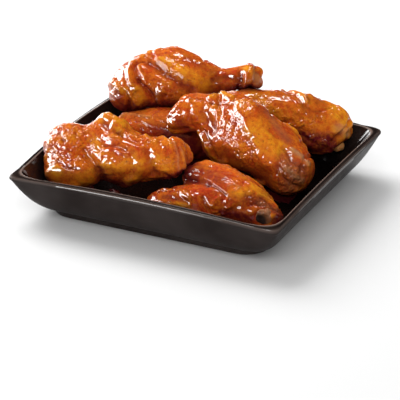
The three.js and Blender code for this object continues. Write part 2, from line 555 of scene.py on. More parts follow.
@dataclass(frozen=True)
class GlazedSkin:
    """Roast chicken skin under a wet amber glaze.

    The fields that are clouds break up the colours, and the last one the roughness. Lengths are in
    millimetres.

    Attributes:
        dry_roughness: What a dry place adds to the roughness.
        coat: Weight of the wet coat.
        dry_coat: Its weight on a dry place.
        bead: Size of a bead of glaze.
        bead_drift: How far beads are pushed out of shape.
        bead_reach: Share of a bead's cell that its dome takes.
        bead_depth: Height of a bead.
        bead_strength: Share of it that shows.
        bare_beads: Share of it on skin that isn't lumpy.
        pores: The finest relief.
    """

    name: str = "glazed_skin"
    amber: Colour = (0.51, 0.100, 0.006)
    russet: Colour = (0.41, 0.034, 0.005)
    rust: Colour = (0.27, 0.014, 0.005)
    # Besides the skin's own colours, fat also paints light on crests and dim wings, sauce and char paint
    # shade underneath, in creases and between parts, and pale paints highlights on a few ridges.
    fat: Colour = (0.58, 0.210, 0.009)
    sauce: Colour = (0.12, 0.008, 0.010)
    char: Colour = (0.15, 0.016, 0.005)
    pale: Colour = (0.33, 0.16, 0.07)
    speck: Colour = (0.07, 0.010, 0.003)
    glow: Colour = (0.66, 0.195, 0.014)
    russet_clouds: Cloud = Cloud(7.0, 4.0, 0.65, 0.42, 0.56)
    rust_mottle: Cloud = Cloud(2.4, 3.0, 0.65, 0.46, 0.60, most=0.72)
    glow_flecks: Cloud = Cloud(1.3, 3.0, 0.7, 0.50, 0.66, most=0.42)
    rust_grain: Cloud = Cloud(0.9, 2.0, 0.6, 0.52, 0.66, most=0.45)
    specks: Cloud = Cloud(1.1, 1.0, 0.5, 0.66, 0.74, most=0.55)
    fat_patches: Cloud = Cloud(3.4, 3.0, 0.65, 0.35, 0.6, least=0.30)
    scorching: Cloud = Cloud(2.6, 3.0, 0.65, 0.3, 0.6, least=0.5)
    sauce_runs: Cloud = Cloud(2.4, 3.0, 0.6, 0.36, 0.58, least=0.6)
    roughness: Cloud = Cloud(1.6, 2.0, 0.5, 0.3, 0.7, 0.28, 0.46)
    dry_roughness: float = 0.25
    coat: float = 0.95
    dry_coat: float = 0.25
    bead: float = 1.7
    bead_drift: float = 2.0
    bead_reach: float = 0.75
    bead_depth: float = 0.32
    bead_strength: float = 0.9
    bare_beads: float = 0.24
    pores: Relief = Relief(0.8, 2.0, 0.55, 0.13, 0.8)

    def make(self) -> bpy.types.Material:
        """Builds the material from the skin's point attributes.

        Returns:
            The skin.
        """
        graph = Graph(self.name)
        tone = graph.blend(graph.cloud(self.russet_clouds), self.amber, self.russet)
        tone = graph.blend(graph.cloud(self.rust_mottle), tone, self.rust)
        tone = graph.blend(graph.cloud(self.glow_flecks), tone, self.glow)
        tone = graph.blend(graph.cloud(self.rust_grain), tone, self.rust)
        # These stains lay painted light and shade as well as the skin's own colours, since the attributes
        # carry both.
        tone = graph.stained(tone, Channel.FAT, self.fat, self.fat_patches)
        tone = graph.stained(tone, Channel.CHAR, self.char, self.scorching)
        tone = graph.blend(graph.cloud(self.specks), tone, self.speck)
        tone = graph.stained(tone, Channel.PALE, self.pale)
        tone = graph.stained(tone, Channel.SAUCE, self.sauce, self.sauce_runs)
        graph.connect(tone, "Base Color")
        dry = graph.attribute(Channel.DRY.value)
        rougher = graph.span(dry, 0.0, 1.0, 0.0, self.dry_roughness)
        graph.connect(graph.maths("ADD", graph.cloud(self.roughness), rougher), "Roughness")
        graph.connect(graph.span(dry, 0.0, 1.0, self.coat, self.dry_coat), "Coat Weight")
        graph.constants(
            IOR=1.40,
            Specular_IOR_Level=0.05,
            Coat_Roughness=0.05,
            Coat_IOR=1.72,
            Subsurface_Weight=0.12,
            Subsurface_Radius=(1.0, 0.34, 0.12),
            Subsurface_Scale=0.0018,
        )
        dome = graph.span(graph.beads(self.bead, self.bead_drift), 0.0, self.bead_reach, 1.0, 0.0)
        lumps = graph.span(graph.attribute(Channel.LUMPS.value), 0.0, 1.0, self.bare_beads, 1.0)
        graph.bump(graph.maths("MULTIPLY", dome, lumps), self.bead_depth, self.bead_strength)
        graph.relief(self.pores)
        return graph.material


@dataclass(frozen=True)
class WetSauce:
    """Dark red sauce that has run off the wings."""

    name: str = "wet_sauce"
    deep: Colour = (0.026, 0.002, 0.0035)
    thin: Colour = (0.060, 0.005, 0.005)
    clouds: Cloud = Cloud(7.0, 2.0, 0.5, 0.4, 0.7)
    ripples: Relief = Relief(5.0, 1.0, 0.5, 0.2, 0.3)

    def make(self) -> bpy.types.Material:
        """Builds the material.

        Returns:
            The sauce.
        """
        graph = Graph(self.name)
        graph.connect(graph.blend(graph.cloud(self.clouds), self.deep, self.thin), "Base Color")
        graph.constants(Roughness=0.16, IOR=1.30, Coat_Weight=0.1, Coat_Roughness=0.05)
        graph.relief(self.ripples)
        return graph.material


@dataclass(frozen=True)
class BareBone:
    """Cooked cartilage, pale at its rim and brown where the marrow shows."""

    name: str = "bare_bone"
    rim: Colour = (0.290, 0.125, 0.062)
    stain: Colour = (0.20, 0.062, 0.020)
    marrow: Colour = (0.028, 0.013, 0.010)
    clouds: Cloud = Cloud(3.0, 3.0, 0.6, 0.4, 0.65)
    roughness: Cloud = Cloud(1.2, 2.0, 0.5, 0.3, 0.7, 0.25, 0.5)
    grain: Relief = Relief(0.9, 2.0, 0.6, 0.12, 0.5)

    def make(self) -> bpy.types.Material:
        """Builds the material from the piece's marrow attribute.

        Returns:
            The bone.
        """
        graph = Graph(self.name)
        tone = graph.blend(graph.cloud(self.clouds), self.rim, self.stain)
        graph.connect(graph.blend(graph.attribute("marrow"), tone, self.marrow), "Base Color")
        graph.connect(graph.cloud(self.roughness), "Roughness")
        graph.constants(
            IOR=1.40,
            Specular_IOR_Level=0.12,
            Coat_Weight=0.12,
            Coat_Roughness=0.12,
            Subsurface_Weight=0.25,
            Subsurface_Radius=(1.0, 0.5, 0.25),
            Subsurface_Scale=0.0015,
        )
        graph.relief(self.grain)
        return graph.material


# ---------------------------------------------------------------- shapes


class GrainNoise:
    """Smooth gradient noise over points in space, the same on every run."""

    TABLE = 256
    GAIN = 1.7

    def __init__(self, seed: int) -> None:
        """Draws the noise's tables.

        Args:
            seed: Start of the random draws.
        """
        draws = np.random.default_rng(seed)
        self.order = draws.permutation(self.TABLE)
        slopes = draws.normal(size=(self.TABLE, 3))
        self.slopes = slopes / np.linalg.norm(slopes, axis=1, keepdims=True)

    def at(self, points: np.ndarray, cell: float) -> np.ndarray:
        """The noise at some points.

        Args:
            points: One row of x, y and z for each point.
            cell: Size of one swell, in the points' unit.

        Returns:
            Values from about -1 to 1.
        """
        scaled = points / cell
        corner = np.floor(scaled).astype(int)
        offset = scaled - corner
        fade = offset**3 * (offset * (offset * 6 - 15) + 10)
        last = self.TABLE - 1
        total = np.zeros(len(points))
        for step in itertools.product((0, 1), repeat=3):
            x, y, z = (corner + step).T
            pick = self.order[(self.order[(self.order[x & last] + y) & last] + z) & last]
            share = np.prod(np.where(step, fade, 1 - fade), axis=1)
            total += share * np.einsum("ij,ij->i", self.slopes[pick], offset - step)
        return total * self.GAIN


def new_piece(name: str, mesh: bpy.types.Mesh, replaced: str | None = None) -> bpy.types.Object:
    """Makes a mesh one of the serving's pieces.

    Args:
        name: The piece's name.
        mesh: Its mesh, in place.
        replaced: The CAD node that it stands for.

    Returns:
        The piece.
    """
    piece = bpy.data.objects.new(name, mesh)
    bpy.context.scene.collection.objects.link(piece)
    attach(piece, "root")
    if replaced:
        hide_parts(replaced)
    return piece


def points_of(mesh: bpy.types.Mesh) -> np.ndarray:
    """Reads where a mesh's vertices are.

    Args:
        mesh: The mesh.

    Returns:
        One row of x, y and z for each vertex, in millimetres.
    """
    flat = np.empty(len(mesh.vertices) * 3, np.float32)
    mesh.vertices.foreach_get("co", flat)
    return flat.reshape(-1, 3).astype(float) / MM


def normals_of(mesh: bpy.types.Mesh) -> np.ndarray:
    """Reads a mesh's vertex normals.

    Args:
        mesh: The mesh.

    Returns:
        One unit row for each vertex.
    """
    flat = np.empty(len(mesh.vertices) * 3, np.float32)
    mesh.vertex_normals.foreach_get("vector", flat)
    return flat.reshape(-1, 3).astype(float)


def move_points(mesh: bpy.types.Mesh, points: np.ndarray) -> None:
    """Puts a mesh's vertices at points given in millimetres."""
    mesh.vertices.foreach_set("co", (points * MM).astype(np.float32).ravel())
    mesh.update()


def modified(mesh: bpy.types.Mesh, *modifiers: tuple[str, dict[str, object]]) -> bpy.types.Mesh:
    """Runs modifiers over a mesh.

    Args:
        mesh: The mesh to start from.
        *modifiers: Each modifier's kind and settings, in order.

    Returns:
        The resulting mesh.
    """
    holder = bpy.data.objects.new("holder", mesh)
    bpy.context.scene.collection.objects.link(holder)
    for kind, settings in modifiers:
        modifier = holder.modifiers.new(kind.lower(), kind)
        for key, value in settings.items():
            setattr(modifier, key, value)
    graph = bpy.context.evaluated_depsgraph_get()
    made = bpy.data.meshes.new_from_object(holder.evaluated_get(graph))
    bpy.data.objects.remove(holder)
    return made


def remeshed(mesh: bpy.types.Mesh, voxel: float, rounds: int) -> bpy.types.Mesh:
    """Gives a mesh an even net of small quads.

    Args:
        mesh: A closed mesh.
        voxel: Side of a quad, in millimetres.
        rounds: How often the new net is smoothed.

    Returns:
        The even mesh.
    """
    return modified(
        mesh,
        ("REMESH", {"mode": "VOXEL", "voxel_size": voxel * MM, "use_smooth_shade": True}),
        ("SMOOTH", {"factor": 0.5, "iterations": rounds}),
    )


# ---------------------------------------------------------------- the dish


class Glazed(Enum):
    """The dish's glazes, numbered in the order of its material slots."""

    OUTSIDE = 0
    INSIDE = 1
    BOTTOM = 2


@dataclass(frozen=True)
class RimRing:
    """One level of the dish.

    Attributes:
        half: Half its side, in millimetres.
        height: Its height, in millimetres.
        corner: Radius of its corners, in millimetres.
        thin: How thin the glaze has run there, from 0 to 1, which also paints highlight lines on the lip's
            edges, down to -1 where it has gathered, with painted shade there.
    """

    half: float
    height: float
    corner: float
    thin: float = 0.0


@dataclass
class Dish:
    """The square dish: foot ring, curved walls and a lip with two fine edges. Sizes are in millimetres.

    Attributes:
        rim_half: Half its side at the lip.
        rim_height: Height of the lip's outer edge.
        lip_width: Width of the lip.
        lip_crown: How far the lip's inner edge stands above the outer one.
        inner_edge_share: Share of lip_crown at which the inner wall ends.
        gloss_edge_share: Share of lip_crown above which every face has the inside's glaze.
        foot_half: Half the foot ring's side.
        foot_height: Height at which the outer wall starts.
        foot_flare: How far out from the foot ring it starts.
        foot_width: Width of the foot ring.
        foot_round: Rounding of its outer edge.
        foot_edge: Rounding of its inner edge.
        foot_lift: Height of its edges over the table.
        foot_join: Rounding between foot ring and wall.
        recess: Height of the underside inside the foot ring.
        recess_edge: How far from the foot ring the underside bends.
        recess_rings: Half the sides of the underside's rings.
        floor_half: Half the floor's side.
        floor_height: Height of the floor.
        floor_rings: Half the sides of the floor's rings.
        floor_roundness: Radius of their corners, as a share of half their side.
        outer_curve: Power that the outer wall rises with.
        inner_curve: Power that the inner wall rises with.
        side_bulge: How far a side bows out at the rim.
        side_rise: How far it bows up there.
        outer_corner: Radius of the rim's corners, outside.
        inner_corner: Radius of the rim's corners, inside.
        foot_corner: Radius of the foot's corners.
        floor_corner: Radius of the floor's corners.
        corner_reach: How far a corner is drawn out at the rim.
        side_steps: Faces along a side.
        corner_steps: Faces round a corner.
        wall_steps: Faces up a wall.
        outside: Glaze of the outer wall and the foot.
        inside: Glaze of the lip and the inner wall.
        bottom: Glaze of the floor.
        bottom_height: Height below which the inside has the floor's glaze.
        pool_height: Height up to which the glaze has gathered on the inner wall and is painted darker as
            shade.
        LEVEL: Upward part of the normal above which a face is floor or lip.
    """

    rim_half: float = 80.0
    rim_height: float = 24.4
    lip_width: float = 3.2
    lip_crown: float = 1.7
    inner_edge_share: float = 0.6
    gloss_edge_share: float = 0.8
    foot_half: float = 64.0
    foot_height: float = 4.5
    foot_flare: float = 2.0
    foot_width: float = 6.0
    foot_round: float = 0.7
    foot_edge: float = 0.3
    foot_lift: float = 0.2
    foot_join: float = 0.5
    recess: float = 1.5
    recess_edge: float = 1.0
    recess_rings: tuple[float, ...] = (12.0, 40.0)
    floor_half: float = 56.0
    floor_height: float = 5.5
    floor_rings: tuple[float, ...] = (52.0, 34.0, 14.0)
    floor_roundness: float = 0.45
    outer_curve: float = 1.9
    inner_curve: float = 1.9
    side_bulge: float = 1.0
    side_rise: float = 2.1
    outer_corner: float = 10.0
    foot_corner: float = 14.0
    floor_corner: float = 26.0
    corner_reach: float = 2.4
    inner_corner: float = 18.0
    side_steps: int = 14
    corner_steps: int = 14
    wall_steps: int = 22
    outside: BlackGlaze = BlackGlaze(
        "satin_black_glaze", (0.30, 0.42), 1.10, (0.0145, 0.0108, 0.0100), (0.0270, 0.0215, 0.0202)
    )
    inside: BlackGlaze = BlackGlaze("gloss_black_glaze", (0.10, 0.18), 1.40)
    bottom: BlackGlaze = BlackGlaze("greasy_black_glaze", (0.22, 0.34), 1.05)
    bottom_height: float = 8.0
    pool_height: float = 13.0
    LEVEL = 0.9

    @staticmethod
    def wall(half: float, start: tuple[float, float], end: tuple[float, float], curve: float) -> float:
        """Height of a curved wall.

        Args:
            half: Half-size at which the height is wanted.
            start: Half-size and height at the wall's foot.
            end: The same at its top.
            curve: Power that the wall rises with.

        Returns:
            The height.
        """
        share = min(1.0, max(0.0, (half - start[0]) / (end[0] - start[0])))
        return start[1] + (end[1] - start[1]) * share**curve

    def point(self, turn: float, ring: RimRing) -> Vector:
        """A point of one ring.

        Args:
            turn: Way round the ring, from 0 to 4, a side and a corner for each unit.
            ring: The ring.

        Returns:
            The point in metres.
        """
        quarter, way = divmod(turn, 1.0)
        side_share = self.side_steps / (self.side_steps + self.corner_steps)
        flat = ring.half - ring.corner
        if way < side_share:
            along = 2 * way / side_share - 1
            middle = (1 - along * along) * (ring.height / self.rim_height) ** 2
            made = Vector(
                (along * flat, -ring.half - self.side_bulge * middle, ring.height + self.side_rise * middle)
            )
        else:
            angle = ((way - side_share) / (1 - side_share) - 1) * math.pi / 2
            pull = self.corner_reach * math.sin(-2 * angle) ** 2 * ring.height / self.rim_height
            out = flat + pull * math.sqrt(0.5)
            made = Vector(
                (out + ring.corner * math.cos(angle), -out + ring.corner * math.sin(angle), ring.height)
            )
        return (Matrix.Rotation(quarter * math.pi / 2, 3, "Z") @ made) * MM

    def rings(self) -> list[RimRing]:
        """The dish's rings, from under its middle, out over the lip and in to the floor.

        Returns:
            The rings in order.
        """
        rings = self.foot()
        wall_start = (self.foot_half + self.foot_flare, self.foot_height)
        for step in range(self.wall_steps):
            half = wall_start[0] + (self.rim_half - wall_start[0]) * step / self.wall_steps
            height = self.wall(half, wall_start, (self.rim_half, self.rim_height), self.outer_curve)
            share = step / self.wall_steps
            corner = self.foot_corner + (self.outer_corner - self.foot_corner) * share
            rings.append(RimRing(half, height, corner))
        rings += self.lip()
        inner_rim = self.rim_half - self.lip_width
        inner_top = self.rim_height + self.inner_edge_share * self.lip_crown
        for step in range(self.wall_steps, -1, -1):
            half = self.floor_half + (inner_rim - self.floor_half) * step / self.wall_steps
            start, end = (self.floor_half, self.floor_height), (inner_rim, inner_top)
            height = self.wall(half, start, end, self.inner_curve)
            corner = self.floor_corner + (self.inner_corner - self.floor_corner) * step / self.wall_steps
            # Below pool_height the inner wall darkens towards the floor: gathered glaze and painted shade.
            above = (height - self.bottom_height) / (self.pool_height - self.bottom_height)
            rings.append(RimRing(half, height, corner, min(0.0, max(-1.0, above - 1.0))))
        # The floor is at its darkest all over: gathered glaze and painted shade.
        for half in self.floor_rings:
            rings.append(RimRing(half, self.floor_height, half * self.floor_roundness, -1.0))
        return rings

    def foot(self) -> list[RimRing]:
        """The rings under the dish and over its foot ring.

        Returns:
            The rings from the middle out.
        """
        inner, outer, edge = self.foot_half - self.foot_width, self.foot_half, self.foot_edge
        profile = (
            *((half, self.recess) for half in self.recess_rings),
            (inner - self.recess_edge, self.recess),
            (inner - edge, self.recess - edge),
            (inner, self.foot_lift),
            (inner + edge, 0.0),
            (outer - self.foot_round, 0.0),
            (outer - self.foot_lift, self.foot_lift),
            (outer, self.foot_round),
            (outer + self.foot_flare - self.foot_join, self.foot_height - self.foot_join),
        )
        return [RimRing(half, height, self.foot_corner) for half, height in profile]

    def lip(self) -> list[RimRing]:
        """The lip's own rings: a round outer shoulder, a shallow dip and a fine inner edge.

        Returns:
            The rings from the outside in.
        """
        # Each row: how far in, how far above rim_height, how thin the glaze has run, which also paints the
        # lip's highlight lines.
        profile = (
            (0.0, -0.7, 0.0),
            (0.05, 0.0, 0.05),
            (0.22, 0.6, 0.15),
            (0.55, 1.05, 0.20),
            (1.0, 1.3, 0.06),
            (1.5, 1.38, 0.0),
            (2.0, 1.42, 0.0),
            (2.4, 1.6, 0.15),
            (2.7, 1.68, 0.6),
            (2.95, 1.62, 0.7),
            (3.12, 1.4, 0.2),
        )
        rings = []
        for inward, rise, thin in profile:
            share = inward / self.lip_width
            corner = self.outer_corner + (self.inner_corner - self.outer_corner) * share
            rings.append(RimRing(self.rim_half - inward, self.rim_height + rise, corner, thin))
        return rings

    def build(self) -> bpy.types.Object:
        """Extrudes the dish ring by ring.

        Returns:
            The piece.
        """
        shell = bmesh.new()
        turn = shell.verts.layers.float.new("turn")
        thin = shell.verts.layers.float.new("thin")
        count = 4 * (self.side_steps + self.corner_steps)
        made = bmesh.ops.create_circle(shell, cap_ends=False, segments=count, radius=1.0)
        rings = self.rings()
        for index, vertex in enumerate(made["verts"]):
            vertex[turn] = 4 * index / count
            vertex.co = self.point(vertex[turn], rings[0])
        edges = list(shell.edges)
        bmesh.ops.edgeloop_fill(shell, edges=edges)
        for ring in rings[1:]:
            grown = bmesh.ops.extrude_edge_only(shell, edges=edges)["geom"]
            edges = [item for item in grown if isinstance(item, bmesh.types.BMEdge)]
            for vertex in (item for item in grown if isinstance(item, bmesh.types.BMVert)):
                vertex.co = self.point(vertex[turn], ring)
                vertex[thin] = ring.thin
        bmesh.ops.edgeloop_fill(shell, edges=edges)
        bmesh.ops.recalc_face_normals(shell, faces=list(shell.faces))
        shoulder = (self.rim_height + self.gloss_edge_share * self.lip_crown) * MM
        for face in shell.faces:
            face.smooth = True
            middle = face.calc_center_median()
            facing_in = face.normal.xy.dot(middle.xy) < 0 or face.normal.z > self.LEVEL
            if middle.z >= shoulder or (face.normal.z > 0 and facing_in):
                glazed = Glazed.INSIDE if middle.z > self.bottom_height * MM else Glazed.BOTTOM
                face.material_index = glazed.value
        mesh = bpy.data.meshes.new("dish_shell")
        shell.to_mesh(mesh)
        shell.free()
        finishes = {Glazed.OUTSIDE: self.outside, Glazed.INSIDE: self.inside, Glazed.BOTTOM: self.bottom}
        for glazed in Glazed:
            mesh.materials.append(finishes[glazed].make())
        return new_piece("dish_shell", mesh, "dish")


# ---------------------------------------------------------------- the wings


@dataclass(frozen=True)
class Mark:
    """One crease, fold or stain on a wing, along a route of points in the frame.

    Attributes:
        name: What it is on the wing.
        depth: How far it goes into the flesh, in millimetres, or out of it when below zero.
        width: Distance at which it ends, in millimetres.
        route: Points of the 400 by 400 frame, cast onto the wing. One point makes a round mark.
        tints: What it changes on the skin, and how strongly.
        sharp: Whether its bottom is a crease and not a round hollow.
    """

    name: str
    depth: float
    width: float
    route: tuple[Pixel, ...]
    tints: tuple[tuple[Channel, float], ...] = ()
    sharp: bool = False


def tinted(tints: dict[str, float]) -> tuple[tuple[Channel, float], ...]:
    """Turns keyword tints into the pairs that a mark holds."""
    return tuple((Channel(name), weight) for name, weight in tints.items())


def crease(name: str, depth: float, width: float, *route: Pixel, **tints: float) -> Mark:
    """A mark with a pointed bottom."""
    return Mark(name, depth, width, route, tinted(tints), sharp=True)


def hollow(name: str, depth: float, width: float, *route: Pixel, **tints: float) -> Mark:
    """A mark with a round bottom."""
    return Mark(name, depth, width, route, tinted(tints))


def fold(name: str, height: float, width: float, *route: Pixel, **tints: float) -> Mark:
    """A rounded ridge, or a knoll where the route is one point."""
    return Mark(name, -height, width, route, tinted(tints))


def stain(name: str, width: float, *route: Pixel, **tints: float) -> Mark:
    """A mark that only changes the skin."""
    return Mark(name, 0.0, width, route, tinted(tints))


@dataclass
class Route:
    """A mark's way over one wing: points and the skin's normals there, in millimetres."""

    mark: Mark
    points: np.ndarray
    normals: np.ndarray
    CREASE_POWER = 1.5

    def nearness(self, points: np.ndarray, sunk: bool) -> np.ndarray:
        """How near some points are to the route.

        Args:
            points: Points in millimetres.
            sunk: Whether the skin there has been moved by the mark's depth already.

        Returns:
            A value for each point, from 1 on the route to 0 at the mark's width.
        """
        width = self.mark.width
        route = self.points - self.mark.depth * self.normals if sunk else self.points
        share = np.zeros(len(points))
        inside = np.all((points > route.min(0) - width) & (points < route.max(0) + width), axis=1)
        close = points[inside]
        least = np.full(len(close), np.inf)
        for stop in route:
            least = np.minimum(least, np.einsum("ij,ij->i", close - stop, close - stop))
        way = np.clip(1 - np.sqrt(least) / width, 0, 1)
        share[inside] = way**self.CREASE_POWER if self.mark.sharp else way * way * (3 - 2 * way)
        return share


@dataclass
class Skin:
    """A wing's bare surface, which marks are laid on."""

    mesh: bpy.types.Mesh
    camera: StudioCamera = field(default_factory=StudioCamera)
    START_TRIES = 40
    HEADING_SPREAD = 0.45
    TURN_SPREAD = 0.16

    def __post_init__(self) -> None:
        """Prepares the search over the surface."""
        corners = [vertex.co for vertex in self.mesh.vertices]
        self.tree = BVHTree.FromPolygons(corners, [face.vertices for face in self.mesh.polygons])
        self.centre = Vector(points_of(self.mesh).mean(0)) * MM

    def under(self, pixel: Pixel) -> tuple[Vector, Vector]:
        """Finds the skin under a point of the frame.

        Args:
            pixel: Column and row in the 400 by 400 frame.

        Returns:
            The skin's point there, in metres, and its normal.
        """
        origin, direction = self.camera.ray(pixel)
        place, normal, *_ = self.tree.ray_cast(origin, direction)
        if place is None:
            beside = origin + direction * (self.centre - origin).dot(direction)
            place, normal, *_ = self.tree.find_nearest(beside)
        return place, normal

    def lay(self, mark: Mark) -> Route:
        """Lays a mark's route on the skin, with its stops a pixel apart.

        Args:
            mark: The mark.

        Returns:
            Its route.
        """
        stops = [np.array(mark.route[0], float)]
        for start, end in itertools.pairwise(np.array(mark.route, float)):
            count = max(1, round(float(np.linalg.norm(end - start))))
            stops += [start + (end - start) * step / count for step in range(1, count + 1)]
        found = [self.under((stop[0], stop[1])) for stop in stops]
        return self.route(mark, found)

    @staticmethod
    def route(mark: Mark, found: list[tuple[Vector, Vector]]) -> Route:
        """Makes a route out of points in metres and the normals there."""
        return Route(mark, np.array([hit[0] for hit in found]) / MM, np.array([hit[1] for hit in found]))

    def wander(self, mark: Mark, draws: np.random.Generator, length: float, away: Vector) -> Route:
        """Lets a mark wander over the side of the wing that one direction points to.

        Args:
            mark: Its size and tints.
            draws: Random draws.
            length: How far it goes, in millimetres.
            away: The direction.

        Returns:
            The route.
        """
        vertices = self.mesh.vertices
        start = vertices[int(draws.integers(len(vertices)))]
        for _ in range(self.START_TRIES):
            if start.normal.dot(away) > 0.0:
                break
            start = vertices[int(draws.integers(len(vertices)))]
        place, normal = start.co.copy(), start.normal.copy()
        heading = Vector((1.0, *draws.normal(0.0, self.HEADING_SPREAD, 2)))
        found = []
        for _ in range(int(length)):
            heading = (heading + Vector(draws.normal(0.0, self.TURN_SPREAD, 3))).normalized()
            heading = (heading - normal * heading.dot(normal)).normalized()
            place, normal, *_ = self.tree.find_nearest(place + heading * MM)
            found.append((place, normal))
        return self.route(mark, found)


@dataclass(frozen=True)
class FineRelief:
    """The wrinkles of a wing's skin and the beads of glaze on it. Lengths are in millimetres.

    Attributes:
        wrinkle_height: Height of the wrinkles.
        wrinkle_cell: Distance between wrinkles.
        pucker_cell: Distance between the finer ones.
        pucker_share: Weight of the finer ones.
        stretch: How the wrinkles are drawn out along each axis.
        drift: How far they are bent.
        drift_cell: Size of a bend.
        patch_cell: Size of the patches in which they are strong.
        patch_mean: Their strength between strong and weak patches.
        patch_gain: How much it changes.
        patch_least: Their least strength.
        bead_height: Height of the beads.
        bead_cell: Distance between beads.
        grain_cell: Size of the grain on them.
        grain_share: Weight of the grain.
        bare_beads: How much of the beads shows on skin that isn't lumpy.
        middle: What the noise is lowered by, so that the relief goes in as far as out.
    """

    wrinkle_height: float = 0.55
    wrinkle_cell: float = 4.2
    pucker_cell: float = 2.3
    pucker_share: float = 0.5
    stretch: tuple[float, float, float] = (0.6, 1.0, 1.0)
    drift: float = 2.2
    drift_cell: float = 9.0
    patch_cell: float = 13.0
    patch_mean: float = 0.45
    patch_gain: float = 1.3
    patch_least: float = 0.1
    bead_height: float = 0.42
    bead_cell: float = 2.1
    grain_cell: float = 1.2
    grain_share: float = 0.3
    bare_beads: float = 0.2
    middle: float = 0.3
    DRIFT_SEED = 10
    FINE_SEED = 20
    COARSE_SEED = 21

    def at(self, points: np.ndarray, lumps: np.ndarray, seed: int) -> np.ndarray:
        """The relief at some points.

        Args:
            points: Points in millimetres.
            lumps: How lumpy the glaze is at each point.
            seed: Start of the wing's random draws.

        Returns:
            Height at each point, in millimetres.
        """
        fine = GrainNoise(seed + self.FINE_SEED)
        coarse = GrainNoise(seed + self.COARSE_SEED)
        bends = [GrainNoise(seed + self.DRIFT_SEED + axis).at(points, self.drift_cell) for axis in range(3)]
        bent = (points + self.drift * np.stack(bends, axis=1)) * self.stretch
        strength = self.patch_mean + self.patch_gain * coarse.at(points, self.patch_cell)
        patches = np.clip(strength, self.patch_least, 1)
        puckers = self.pucker_share * np.abs(coarse.at(bent, self.pucker_cell))
        wrinkles = np.abs(fine.at(bent, self.wrinkle_cell)) + puckers - self.middle
        grain = self.grain_share * coarse.at(points, self.grain_cell)
        beads = np.abs(fine.at(points, self.bead_cell)) - self.middle + grain
        beaded = self.bead_height * (self.bare_beads * patches + lumps) * beads
        return self.wrinkle_height * patches * wrinkles + beaded


